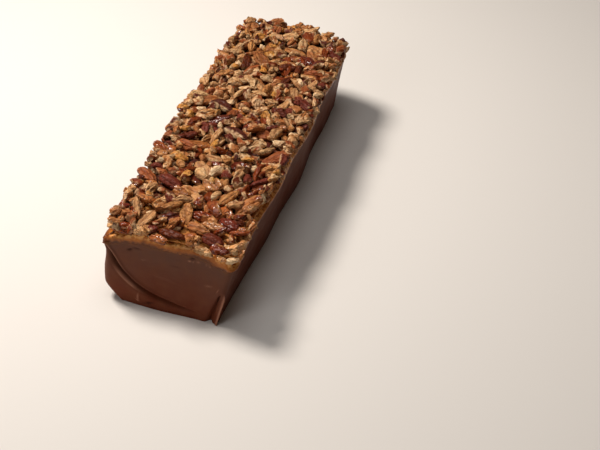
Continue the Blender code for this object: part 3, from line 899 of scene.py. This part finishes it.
class Crust:
    """The pieces laid so far, and the height of their tops over the loaf."""

    def __init__(self):
        """An empty crust over the crumb bed."""
        self.rng = random.Random(PECAN_SEED + 7)
        self.pieces = {kind: [] for kind in PECAN_FORMS}
        self.tops = np.full(CELLS, CRUST_SEAT + BED_TOP)
        self.kept = np.zeros(CELLS)
        steps = (np.arange(cells) - float(middle) for cells, middle in zip(CELLS, MIDDLE))
        self.across, self.along = np.meshgrid(*steps, indexing="ij")

    def footprint(self, x, y, turn, length, width):
        """The cells about a piece, and how far out each lies, squared, with its edge at 1."""
        reach = int(length / 2) + 2
        window = tuple(slice(max(0, at - reach), at + reach)
                       for at in (int(x + MIDDLE[0]), int(y + MIDDLE[1])))
        c, s = heading(turn)
        dx, dy = self.across[window] - x, self.along[window] - y
        share = ((dx * c + dy * s) / (length / 2)) ** 2 + ((dy * c - dx * s) / (width / 2)) ** 2
        return window, share

    def under(self, grid, spot):
        """The grid's cells under the core of a piece at this x, y, turn, length and width."""
        x, y, turn, length, width = spot
        window, share = self.footprint(x, y, turn, length * CORE, width * CORE)
        return grid[window][share < 1]

    def level(self, spot, part):
        """The height that this part of the cells under a piece lie below."""
        inside = self.under(self.tops, spot)
        return float(np.quantile(inside, part)) if inside.size else CRUST_SEAT

    def hides(self, spot):
        """What share of a new piece would lie over pieces kept in sight."""
        inside = self.under(self.kept, spot)
        return float(inside.mean()) if inside.size else 0.0

    def add(self, kind, x, y, z, turn, tilt, roll, length, width, thick, tone=None, belly=False):
        """Lays a piece; one whose tone is given is kept in sight."""
        rng = self.rng
        window, share = self.footprint(x, y, turn, length, width)
        top = z + thick / 2 * np.sqrt(np.clip(1 - share, 0, 1))
        tops = self.tops[window]
        self.tops[window] = np.where(share < 1, np.maximum(tops, top), tops)
        if tone is None:
            tone = rng.choices(list(TONES), [often for _, often in TONES.values()])[0]
        else:
            self.kept[window][share < KEPT_CORE] = 1.0
        near = 1.0 - ease(y, *GLAZED)
        strength = rng.uniform(*STRENGTH) * (1.0 + NEAR_GAIN * near - FAR_LOSS * ease(y, *FAR))
        tint = np.array(colour(TONES[tone][0])[:3]) * strength
        form = rng.randrange(len(PECAN_FORMS[kind]))
        syrup = NEAR_GLAZE_RIGHT if x > 0 else NEAR_GLAZE_LEFT
        glazed = float(rng.random() < GLAZE_ODDS + near * syrup)
        self.pieces[kind].append(
            (x, y, z, roll + 180 * belly, tilt, turn, length, width, thick, form, *tint, glazed))


# More pieces that show from above, laid on the part's own: kind, x, y, turn, length, tone
SEEN_PECANS = (
    ("chunk", 56, -193, 20, 11, "cream"), ("chunk", 46, -193, -10, 11, "straw"),
    ("chip", 61, -186, 75, 9, "tan"), ("chunk", 36, -191, 5, 10, "tan"),
    ("chunk", 55, -184, 35, 14, "straw"), ("chunk", 58, -172, 80, 15, "tan"),
    ("chunk", 45, -188, -15, 15, "chestnut"), ("chunk", 57, -188, -45, 10, "tan"),
    ("chunk", 29, -189, 12, 13, "tan"), ("chunk", 58, -144, 70, 13, "amber"),
    ("chunk", 22, -181, 39, 9, "amber"), ("chunk", 57, -157, -33, 12, "cream"),
    ("chip", -30, -153, 28, 9, "cream"), ("broken", -32, -133, 5, 14, "wine"),
    ("chip", -23, -126, 52, 8, "straw"), ("broken", 23, -138, -35, 22, "ginger"),
    ("chunk", 36, -128, 24, 17, "tan"), ("chunk", 51, -130, 46, 13, "tan"),
    ("chunk", 7, -132, 84, 14, "chestnut"), ("chunk", 16, -121, 69, 13, "straw"),
    ("broken", -3, -115, -13, 25, "honey"), ("chunk", 21, -102, 44, 12, "wine"),
    ("chunk", 31, -98, -76, 17, "cocoa"), ("broken", 50, -91, 8, 17, "chestnut"),
    ("chunk", 5, -86, 78, 17, "cream"), ("broken", -6, -91, -35, 22, "straw"),
    ("chunk", 15, -84, -81, 15, "wine"), ("broken", 23, -72, -37, 24, "wine"),
    ("chunk", 34, -64, 70, 14, "cream"), ("chunk", -32, -73, -22, 15, "gold"),
    ("chunk", -21, -70, 78, 12, "plum"), ("chunk", 1, -69, -23, 14, "wine"),
    ("chunk", -14, -61, -29, 12, "gold"), ("chunk", 5, -56, -52, 15, "straw"),
    ("chunk", 31, -49, -43, 15, "ginger"), ("chunk", -10, -43, 80, 13, "gold"),
    ("chunk", 7, -43, -43, 13, "amber"), ("chunk", -47, -27, 11, 12, "gold"),
    ("chunk", 44, -25, -26, 13, "cream"), ("broken", 4, -21, -29, 25, "plum"),
    ("chunk", 13, -19, -43, 15, "amber"), ("chunk", 30, -1, 19, 13, "wine"),
    ("chunk", 53, -2, 8, 9, "cream"), ("chunk", -43, 9, 19, 10, "cream"),
    ("broken", -25, 21, -24, 24, "plum"), ("chunk", -11, 36, 40, 15, "honey"),
    ("broken", 5, 37, -56, 24, "ginger"), ("broken", 11, 90, -15, 24, "chestnut"),
    ("chip", -28, 95, 6, 10, "cream"), ("chunk", 57, 117, 82, 14, "straw"),
    ("half", -17, 119, -42, 28, "amber"), ("chunk", -8, 124, -38, 14, "gold"),
    ("broken", 29, 157, -35, 24, "straw"), ("broken", -9, 189, 22, 18, "amber"),
)

# Pieces that stand up: x, y, turn, length, tilt, tone
UPRIGHT_PECANS = (
    (21, -176, 70, 12, 52, "straw"), (-55, 46, -66, 16, 48, "ginger"),
    (-51, 178, -68, 14, 45, "amber"),
)

# Pieces between and on those: kind, how many, length, width share, thickness share, where each
# settles among the heights under it, and whether it sits on the rim
FILL = (
    ("chip", 230, (5, 8), 0.85, 0.7, 0.45, False),
    ("chunk", 150, (8, 12), 0.8, 0.64, 0.42, True),
    ("chunk", 210, (9, 13.5), 0.78, 0.62, 0.42, False),
    ("half", 16, (22, 27), 0.5, 0.28, 0.42, False),
    ("broken", 130, (15, 21), 0.54, 0.4, 0.42, False),
    ("chunk", 70, (9, 12.5), 0.78, 0.62, 0.42, False),
)
FILL_TRIES = 6
FILL_SIDE_INSET = 0.22  # how far in it stays, as a share of its length
FILL_END_INSET = 0.28
RIM_INSET = 0.37  # and how far in the rim's pieces sit
RIGHT_INSET = 0.5
FILL_TILT = 16
FILL_ROLL = 30
FILL_SINK = (0.2, 0.45)  # how far over its level a piece's middle lies, in its thickness
HIGHEST = 78.6
KEPT_LIFT = 60.0  # how much dearer a place is where it would hide a piece that is kept in sight

# Pieces laid last by the near left corner: kind, x, y, turn, length, tone
LAST_PECANS = (
    ("chunk", -51, -184, 30, 11, "tan"), ("chip", -56, -180, 75, 9, "straw"),
    ("chunk", -55, -172, 60, 11, "amber"),
)

SETTLE_TILT = 6
SETTLE_ROLL = 12
SETTLE_PART = 0.4
SETTLE_SINK = 0.3


def settle(crust, kind, x, y, turn, length, tilt, tone):
    """Lays a listed piece on what is under it, below the highest level."""
    long, wide, thick = PECAN_SIZES[kind]
    width, thick = length * wide / long, length * thick / long
    roll = crust.rng.gauss(0, SETTLE_ROLL)
    level = crust.level((x, y, turn, length, width), SETTLE_PART)
    z = min(level + SETTLE_SINK * thick, HIGHEST - half_height(tilt, roll, length, width, thick))
    belly = crust.rng.random() < BELLY_UP
    crust.add(kind, x, y, z, turn, tilt, roll, length, width, thick, tone, belly)


def cheapest_place(crust, lengths, slim, part, on_rim):
    """The best of a few random places: its cost, its level, and x, y, turn, length and width."""
    rng, places = crust.rng, []
    for _ in range(FILL_TRIES):
        length = rng.uniform(*lengths)
        width = length * slim * rng.uniform(0.8, 1.2)
        turn = rng.uniform(0, 360)
        u = rng.uniform(-1, 1) * (WIDTH / 2 - FILL_SIDE_INSET * length)
        v = rng.uniform(-1, 1) * (LENGTH / 2 - FILL_END_INSET * length)
        if on_rim and rng.random() < LENGTH / (LENGTH + WIDTH):
            u = math.copysign(WIDTH / 2 - RIM_INSET * length, u)
            u = min(u, WIDTH / 2 - RIGHT_INSET * length)
        elif on_rim:
            v = math.copysign(LENGTH / 2 - RIM_INSET * length, v)
        x, y = loaf_point(u, v, CARAMEL_TOP)
        spot = (x, y, turn, length, width)
        level = crust.level(spot, part)
        places.append((level + KEPT_LIFT * (crust.hides(spot) + corner_wedge(x, y)), level, spot))
    return min(places, key=lambda place: place[0])


def heap_pecans():
    """All pieces of the crust: the part's own, the listed ones, and others that settle between."""
    crust = Crust()
    rng = crust.rng
    for index, (kind, *place) in enumerate(pecan_places()):
        if index < len(LAID_PECANS):
            tone, belly = LAID_PECANS[index][5:]
        else:
            tone, belly = None, rng.random() < BELLY_UP
        crust.add(kind, *place, tone, belly)
    for kind, x, y, turn, length, tone in SEEN_PECANS:
        settle(crust, kind, x, y, turn, length, rng.gauss(0, SETTLE_TILT), tone)
    for x, y, turn, length, tilt, tone in UPRIGHT_PECANS:
        settle(crust, "chunk", x, y, turn, length, tilt, tone)
    for kind, count, lengths, slim, flat, part, on_rim in FILL:
        for _ in range(count):
            cost, level, spot = cheapest_place(crust, lengths, slim, part, on_rim)
            if cost > HIGHEST:
                continue
            x, y, turn, length, width = spot
            thick = width * flat / slim * rng.uniform(0.85, 1.15)
            tilt, roll = rng.gauss(0, FILL_TILT), rng.gauss(0, FILL_ROLL)
            z = min(level + thick * rng.uniform(*FILL_SINK),
                    HIGHEST - half_height(tilt, roll, length, width, thick))
            belly = rng.random() < BELLY_UP
            crust.add(kind, x, y, z, turn, tilt, roll, length, width, thick, None, belly)
    for kind, x, y, turn, length, tone in LAST_PECANS:
        settle(crust, kind, x, y, turn, length, rng.gauss(0, SETTLE_TILT), tone)
    return crust


# Kinds of node, and the inputs of a Mix node on colours
NOISE = "ShaderNodeTexNoise"
RANGE = "ShaderNodeMapRange"
MIX = "ShaderNodeMix"
MATH = "ShaderNodeMath"
ATTRIBUTE = "ShaderNodeAttribute"
SHARE, UNDER, OVER = 0, 6, 7
NOISE_SPAN = {"From Min": 0.3, "From Max": 0.7}  # where most of a noise's values lie


def connect(tree, node, inputs):
    """Links each input that is given a node, from its first output, or a socket; sets the rest."""
    for key, value in inputs.items():
        if isinstance(value, bpy.types.Node):
            value = next(socket for socket in value.outputs if socket.enabled)
        if isinstance(value, bpy.types.NodeSocket):
            tree.links.new(value, node.inputs[key])
        else:
            node.inputs[key].default_value = value


def add(tree, kind, inputs=None, **settings):
    """A node with these settings and inputs; a Mix node mixes colours."""
    node = tree.nodes.new(kind)
    if kind == MIX:
        settings["data_type"] = "RGBA"
    for key, value in settings.items():
        setattr(node, key, value)
    connect(tree, node, inputs or {})
    return node


def scatter_tree(name):
    """A tree that puts one of the forms on each point, turned and sized by its attributes."""
    tree = bpy.data.node_groups.new(name, "GeometryNodeTree")
    new_socket = tree.interface.new_socket
    new_socket("Geometry", in_out="INPUT", socket_type="NodeSocketGeometry")
    labels = {"Forms": "Collection", "Finish": "Material", "Crinkle height": "Float",
              "Crinkles per metre": "Float"}
    sockets = {label: new_socket(label, in_out="INPUT", socket_type=f"NodeSocket{kind}")
               for label, kind in labels.items()}
    new_socket("Geometry", in_out="OUTPUT", socket_type="NodeSocketGeometry")
    given = add(tree, "NodeGroupInput").outputs
    forms = add(tree, "GeometryNodeCollectionInfo", {
        "Collection": given["Forms"], "Separate Children": True, "Reset Children": True})
    form, turn, size = (
        add(tree, "GeometryNodeInputNamedAttribute", {"Name": label}, data_type=data)
        for label, data in (("form", "INT"), ("turn", "FLOAT_VECTOR"), ("size", "FLOAT_VECTOR")))
    placed = add(tree, "GeometryNodeInstanceOnPoints", {
        "Points": given["Geometry"], "Instance": forms, "Pick Instance": True,
        "Instance Index": form, "Scale": size,
        "Rotation": add(tree, "FunctionNodeEulerToRotation", {"Euler": turn})})
    real = add(tree, "GeometryNodeRealizeInstances", {"Geometry": placed})
    crinkle = add(tree, NOISE, {
        "Vector": add(tree, "GeometryNodeInputPosition"), "Scale": given["Crinkles per metre"],
        "Detail": 1.0})
    centred = add(tree, MATH, {0: crinkle, 1: 0.5}, operation="SUBTRACT")
    height = add(tree, MATH, {0: centred, 1: given["Crinkle height"]}, operation="MULTIPLY")
    offset = add(tree, "ShaderNodeVectorMath", {
        0: add(tree, "GeometryNodeInputNormal"), "Scale": height}, operation="SCALE")
    moved = add(tree, "GeometryNodeSetPosition", {"Geometry": real, "Offset": offset})
    finished = add(tree, "GeometryNodeSetMaterial", {
        "Geometry": moved, "Material": given["Finish"]})
    add(tree, "NodeGroupOutput", {"Geometry": finished})
    return tree, {label: socket.identifier for label, socket in sockets.items()}


CRINKLE_HEIGHT = 0.7
CRINKLE_SIZE = 2.8


def make_pecans(kind, rows, material):
    """One plain mesh of every piece of this kind, from the rows that Crust.add keeps."""
    forms = bpy.data.collections.new(f"{kind}_forms")
    for index, form in enumerate(PECAN_FORMS[kind]):
        seed = 11 * index + 3 * len(kind) + 1
        forms.objects.link(pecan_form(f"{kind}_{index}", form, PECAN_SIZES[kind], seed))
    mesh = bpy.data.meshes.new(f"{kind}_points")
    mesh.from_pydata([metres(row[:3]) for row in rows], [], [])
    for key, data, slot, values in (
        ("turn", "FLOAT_VECTOR", "vector", [math.radians(v) for row in rows for v in row[3:6]]),
        ("size", "FLOAT_VECTOR", "vector", [v * MM for row in rows for v in row[6:9]]),
        ("form", "INT", "value", [row[9] for row in rows]),
        ("tone", "FLOAT_COLOR", "color", [v for row in rows for v in (*row[10:13], 1.0)]),
        ("glaze", "FLOAT", "value", [row[13] for row in rows]),
    ):
        mesh.attributes.new(key, data, "POINT").data.foreach_set(slot, values)
    points = put(mesh.name, mesh)
    scatter = points.modifiers.new("scatter", "NODES")
    scatter.node_group, inputs = scatter_tree(f"{kind}_scatter")
    for label, value in (("Forms", forms), ("Finish", material),
                         ("Crinkle height", CRINKLE_HEIGHT * MM),
                         ("Crinkles per metre", 1 / (CRINKLE_SIZE * MM))):
        scatter[inputs[label]] = value
    bpy.context.view_layer.update()
    graph = bpy.context.evaluated_depsgraph_get()
    real = bpy.data.meshes.new_from_object(points.evaluated_get(graph))
    real.name = f"pecan_{kind}"
    piece = put(real.name, real)
    for spare in (points, *forms.objects):
        bpy.data.objects.remove(spare)
    bpy.data.collections.remove(forms)
    return piece


def new_material(name, **inputs):
    """A material, its tree and its shader, with these values on the shader's own sockets."""
    material = bpy.data.materials.new(name)
    material.use_nodes = True
    tree = material.node_tree
    shader = tree.nodes["Principled BSDF"]
    connect(tree, shader, {key.replace("_", " "): value for key, value in inputs.items()})
    return material, tree, shader


# Patterns on Object coordinates count in metres, so a size in millimetres is 1000 / size.
def fudge_finish():
    """Milk chocolate fudge, boiled, cast in a frame and cut at the near end with a warm knife.

    To the eye it is a close satin brown, cloudy, greyer towards the caramel and redder below,
    with faint drag lines and air pits, painted shade in its cut-in marks and painted highlights on
    its raised marks, flap edge, lobe crest and rib.
    """
    material, tree, shader = new_material(
        "cut_milk_chocolate_fudge", IOR=1.46, Roughness=0.5, Specular_IOR_Level=0.08)
    place = add(tree, "ShaderNodeTexCoord").outputs["Object"]
    below, highlight_and_shade = (
        add(tree, ATTRIBUTE, attribute_name=name).outputs["Fac"] for name in ("below", "scraped"))
    clouds = add(tree, NOISE, {"Vector": place, "Scale": 1000 / 38.0, "Detail": 3.0})
    shift = add(tree, RANGE, {"Value": clouds, **NOISE_SPAN, "To Min": -10.0, "To Max": 10.0})
    depth = add(tree, MATH, {0: below, 1: shift}, operation="ADD")
    low = add(tree, RANGE, {"Value": depth, "From Min": 4.0, "From Max": 50.0})
    body = add(tree, MIX, {SHARE: low, UNDER: colour("674538"), OVER: colour("66301D")})
    mottle = add(tree, NOISE, {"Vector": place, "Scale": 1000 / 9.0, "Detail": 4.0})
    pale = add(tree, RANGE, {"Value": mottle, "From Min": 0.35, "From Max": 0.75, "To Max": 0.35})
    mottled = add(tree, MIX, {SHARE: pale, UNDER: body, OVER: colour("78482F")})
    # caramel wiped down onto the fudge by the blade, 3 mm deep at most
    ragged = add(tree, NOISE, {"Vector": place, "Scale": 1000 / 5.0, "Detail": 3.0})
    reach = add(tree, RANGE, {"Value": ragged, **NOISE_SPAN, "To Min": -1.6, "To Max": 1.6})
    wiped = add(tree, MATH, {0: below, 1: reach}, operation="ADD")
    smear = add(tree, RANGE, {
        "Value": wiped, "From Min": 0.0, "From Max": 3.2, "To Min": 0.55, "To Max": 0.0})
    tinted = add(tree, MIX, {SHARE: smear, UNDER: mottled, OVER: colour("7C5029")})
    # painted shade: darker in the cut-in marks
    cut_mark_shade = add(tree, RANGE, {"Value": highlight_and_shade, "From Min": 0.0, "From Max": -1.0, "To Max": 0.8})
    cut_mark_shaded = add(tree, MIX, {SHARE: cut_mark_shade, UNDER: tinted, OVER: colour("2E120A")})
    # painted highlight: paler along the flap's edge, the lobe's crest, the rib and the raised marks
    highlight_share = add(tree, RANGE, {"Value": highlight_and_shade, "To Max": 0.75})
    highlighted = add(tree, MIX, {SHARE: highlight_share, UNDER: cut_mark_shaded, OVER: colour("B57F66")})
    satin = add(tree, NOISE, {"Vector": place, "Scale": 1000 / 14.0, "Detail": 3.0})
    gloss = add(tree, RANGE, {"Value": satin, **NOISE_SPAN, "To Min": 0.46, "To Max": 0.6})
    # sugar grain is far under 1 mm: drawn at 2.2 mm, so that it shows
    grain = add(tree, NOISE, {"Vector": place, "Scale": 1000 / 2.2, "Detail": 3.0})
    level = add(tree, "ShaderNodeMapping", {"Vector": place, "Scale": (0.25, 0.25, 3.0)})
    drag = add(tree, NOISE, {"Vector": level, "Scale": 1000 / 9.0})
    pits = add(tree, RANGE, {"Value": grain, "From Min": 0.68, "From Max": 0.76, "To Max": -0.9})
    fine = add(tree, MATH, {0: grain, 1: 0.25, 2: drag}, operation="MULTIPLY_ADD")
    height = add(tree, MATH, {0: fine, 1: pits}, operation="ADD")
    relief = add(tree, "ShaderNodeBump", {"Height": height, "Strength": 0.25, "Distance": 0.0006})
    connect(tree, shader, {"Base Color": highlighted, "Roughness": gloss, "Normal": relief})
    return material


def caramel_finish():
    """Soft boiled caramel, poured warm over the fudge.

    To the eye it is golden brown and glossy, with light inside it, a brown smeared foot and painted
    highlights in patches along its upper edge.
    """
    material, tree, shader = new_material(
        "poured_soft_caramel", IOR=1.48, Roughness=0.26, Specular_IOR_Level=0.22,
        Subsurface_Weight=0.15, Subsurface_Scale=0.003, Subsurface_Radius=(1.0, 0.45, 0.15))
    place = add(tree, "ShaderNodeTexCoord").outputs["Object"]
    rise = add(tree, ATTRIBUTE, attribute_name="rise").outputs["Fac"]
    clouds = add(tree, NOISE, {"Vector": place, "Scale": 1000 / 10.0, "Detail": 3.0})
    cloudy = add(tree, RANGE, {"Value": clouds, **NOISE_SPAN})
    golden = add(tree, MIX, {SHARE: cloudy, UNDER: colour("8C4B1A"), OVER: colour("B66C2B")})
    ragged = add(tree, NOISE, {"Vector": place, "Scale": 1000 / 4.0, "Detail": 3.0})
    reach = add(tree, RANGE, {"Value": ragged, **NOISE_SPAN, "To Min": -1.5, "To Max": 1.5})
    smear = add(tree, MATH, {0: rise, 1: reach}, operation="ADD")
    clear = add(tree, RANGE, {"Value": smear, "From Min": 0.4, "From Max": 3.6})
    poured = add(tree, MIX, {SHARE: clear, UNDER: colour("61361E"), OVER: golden})
    drops = add(tree, NOISE, {"Vector": place, "Scale": 1000 / 3.4})
    patch = add(tree, RANGE, {"Value": drops, "From Min": 0.43, "From Max": 0.56})
    upper = add(tree, RANGE, {"Value": rise, "From Min": 4.0, "From Max": 7.0})
    # painted highlight: pale patches along the caramel's upper edge
    edge = add(tree, MATH, {0: upper, 1: patch}, operation="MULTIPLY")
    edge_highlighted = add(tree, MIX, {SHARE: edge, UNDER: poured, OVER: colour("DDA05C")})
    relief = add(tree, "ShaderNodeBump", {"Height": drops, "Strength": 0.4, "Distance": 0.0008})
    connect(tree, shader, {"Base Color": edge_highlighted, "Normal": relief})
    return material


def crumb_finish():
    """Caramel set thick with chopped pecan crumbs.

    To the eye it is dark and sticky in the gaps, that darkness being painted shade between the
    nuts, with paler grains of 2 to 3 mm, and golden where the caramel pools, painted lighter there
    against the nuts' shade.
    """
    material, tree, shader = new_material(
        "caramel_and_nut_crumbs", IOR=1.48, Roughness=0.4, Specular_IOR_Level=0.2)
    place = add(tree, "ShaderNodeTexCoord").outputs["Object"]
    pooled = add(tree, ATTRIBUTE, attribute_name="pooled").outputs["Fac"]
    grains = add(tree, NOISE, {"Vector": place, "Scale": 1000 / 2.6})
    nutty = add(tree, RANGE, {"Value": grains, "From Min": 0.45, "From Max": 0.65})
    # painted shade: the bed is near black in the gaps between the nuts
    crumbs_and_gap_shade = add(tree, MIX, {SHARE: nutty, UNDER: colour("300B02"), OVER: colour("743A14")})
    # golden pooled caramel, drawn lighter as painted light against the nuts' shade
    caramel_and_light = add(tree, MIX, {SHARE: pooled, UNDER: crumbs_and_gap_shade, OVER: colour("D88E48")})
    relief = add(tree, "ShaderNodeBump", {"Height": grains, "Strength": 0.8, "Distance": 0.0015})
    connect(tree, shader, {"Base Color": caramel_and_light, "Normal": relief})
    return material


def pecan_finish():
    """Pecan kernels, roasted and chopped. The grain attribute counts in millimetres: 1 / size.

    To the eye: a papery, oily, wrinkled skin from tan to near black, with painted shade in its
    furrows and crease lines, cream to tan where it broke, and wet glints where syrup lies on it.
    """
    material, tree, shader = new_material(
        "roasted_chopped_pecan", IOR=1.46, Roughness=0.42, Specular_IOR_Level=0.13,
        Coat_Roughness=0.1)
    tone, skin, furrow, glaze, grain = (
        add(tree, ATTRIBUTE, attribute_name=name).outputs[output] for name, output in (
            ("tone", "Color"), ("skin", "Fac"), ("furrow", "Fac"), ("glaze", "Fac"),
            ("grain", "Vector")))
    along = add(tree, "ShaderNodeMapping", {"Vector": grain, "Scale": (0.6, 1.0, 1.0)})
    streaks = add(tree, NOISE, {
        "Vector": along, "Scale": 1 / 2.8, "Detail": 2.0, "Roughness": 0.5})
    dark = add(tree, RANGE, {"Value": streaks, "From Min": 0.66, "From Max": 0.32, "To Max": 0.6})
    streaked = add(tree, MIX, {SHARE: dark, UNDER: tone, OVER: colour("C8926A")},
                   blend_type="MULTIPLY")
    blotches = add(tree, NOISE, {"Vector": grain, "Scale": 1 / 3.5, "Detail": 3.0})
    roast = add(tree, RANGE, {
        "Value": blotches, "From Min": 0.56, "From Max": 0.76, "To Max": 0.35})
    roasted = add(tree, MIX, {SHARE: roast, UNDER: streaked, OVER: colour("581F06")})
    # wrinkles about 5 mm apart, as thin lines where their noise crosses its middle
    wrinkles = add(tree, NOISE, {"Vector": along, "Scale": 1 / 5.0, "Detail": 1.5})
    line = add(tree, MATH, {0: wrinkles, 1: 0.5}, operation="SUBTRACT")
    off_line = add(tree, MATH, {0: line}, operation="ABSOLUTE")
    crease = add(tree, RANGE, {
        "Value": off_line, "From Min": 0.0, "From Max": 0.04, "To Min": 1.0, "To Max": 0.0})
    # painted shade: darker in the furrows and along the crease lines
    deep = add(tree, MATH, {0: crease, 1: furrow}, operation="MAXIMUM")
    share = add(tree, MATH, {0: deep, 1: 0.6}, operation="MULTIPLY")
    crease_shaded = add(tree, MIX, {SHARE: share, UNDER: roasted, OVER: colour("481300")})
    pith = add(tree, RANGE, {"Value": blotches, "From Min": 0.35, "From Max": 0.65})
    flesh = add(tree, MIX, {SHARE: pith, UNDER: colour("ECCBA0"), OVER: colour("B98A5C")})
    broken = add(tree, MIX, {SHARE: 0.35, UNDER: flesh, OVER: tone})
    kernel = add(tree, MIX, {SHARE: skin, UNDER: broken, OVER: crease_shaded})
    place = add(tree, "ShaderNodeTexCoord").outputs["Object"]
    pools = add(tree, NOISE, {"Vector": place, "Scale": 1000 / 4.0})
    wet = add(tree, RANGE, {"Value": pools, "From Min": 0.42, "From Max": 0.52, "To Max": 0.8})
    film = add(tree, MATH, {0: glaze, 1: wet}, operation="MULTIPLY")
    stain = add(tree, MATH, {0: glaze, 1: 0.6}, operation="MULTIPLY")
    stained = add(tree, MIX, {SHARE: stain, UNDER: kernel, OVER: colour("F4CCA4")},
                  blend_type="MULTIPLY")
    gloss = add(tree, RANGE, {"Value": film, "To Min": 0.44, "To Max": 0.3})
    ridges = add(tree, MATH, {0: wrinkles, 1: 1.3, 2: streaks}, operation="MULTIPLY_ADD")
    folds = add(tree, MATH, {0: crease, 1: -0.3, 2: ridges}, operation="MULTIPLY_ADD")
    relief = add(tree, "ShaderNodeBump", {"Height": folds, "Strength": 0.7, "Distance": 0.003})
    syrup = add(tree, "ShaderNodeBump", {"Height": folds, "Strength": 0.35, "Distance": 0.003})
    connect(tree, shader, {"Base Color": stained, "Roughness": gloss, "Coat Weight": film,
                           "Normal": relief, "Coat Normal": syrup})
    return material


FLOOR_REACH = 6.0
SKY_STRENGTH = 0.055
# Soft lights: name, place, aim, width, watts and colour
SOFTBOXES = (
    ("window", (-0.6, 0.13, 1.05), (0, -0.05, 0.05), 0.35, 18.6, "FFF8EF"),
    ("ceiling", (0.0, 0.05, 1.25), (0, 0, 0.05), 0.8, 3.8, "FFFFFF"),
    ("front", (-0.6, -1.15, 0.8), (0, -0.15, 0.05), 0.7, 3.7, "FFFFFF"),
)


def make_stage():
    """A pale floor and soft daylight, the strongest from above on the loaf's left."""
    material, _, _ = new_material("pale_matt_floor", Roughness=0.9, Base_Color=colour("D8D3CE"))
    mesh = bpy.data.meshes.new("floor")
    mesh.from_pydata([(x * FLOOR_REACH, y * FLOOR_REACH, 0) for x, y in (
        (-1, -1), (1, -1), (1, 1), (-1, 1))], [], [(0, 1, 2, 3)])
    mesh.materials.append(material)
    put("floor", mesh)
    world = bpy.data.worlds.new("daylight")
    world.use_nodes = True
    connect(world.node_tree, world.node_tree.nodes["Background"],
            {"Color": colour("FFE2C4"), "Strength": SKY_STRENGTH})
    bpy.context.scene.world = world
    for name, place, aim, size, watts, code in SOFTBOXES:
        lamp = bpy.data.lights.new(name, "AREA")
        lamp.shape, lamp.size, lamp.energy = "DISK", size, watts
        lamp.color = colour(code)[:3]
        box = put(name, lamp)
        box.location = place
        box.rotation_euler = (Vector(aim) - Vector(place)).to_track_quat("-Z", "Y").to_euler()


# The photograph's camera, in the loaf's millimetres
CAMERA_AT = (332.612, -1021.616, 756.754)
CAMERA_RIGHT = (0.95973, 0.27922, 0.03089)
CAMERA_UP = (-0.19092, 0.56761, 0.80086)
CAMERA_LENS = 81.79
CAMERA_SENSOR = 36.0


def make_camera():
    """The camera, turned by its right and up directions."""
    lens = bpy.data.cameras.new("camera")
    lens.sensor_width, lens.lens = CAMERA_SENSOR, CAMERA_LENS
    camera = put("camera", lens)
    right, up = Vector(CAMERA_RIGHT).normalized(), Vector(CAMERA_UP).normalized()
    turned = Matrix((right, up, right.cross(up))).transposed().to_4x4()
    camera.matrix_world = Matrix.Translation(metres(CAMERA_AT)) @ turned
    bpy.context.scene.camera = camera


def main():
    """Makes every piece of the loaf, then the floor, light and camera."""
    plans = plan_outline()
    pecan = pecan_finish()
    pieces = [
        (make_fudge(plans, fudge_finish()), "fudge_body", "chocolate_fudge"),
        (make_caramel(plans, caramel_finish()), "caramel_layer", "caramel"),
        (make_bed(plans, crumb_finish()), "pecan_topping", "caramel"),
    ]
    for kind, rows in heap_pecans().pieces.items():
        pieces.append((make_pecans(kind, rows, pecan), "pecan_topping", "pecans"))
    for piece, node, slot in pieces:
        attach(piece, "root")
        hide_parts(node)
    make_stage()
    make_camera()
    bpy.context.scene.view_settings.view_transform = "Standard"


main()
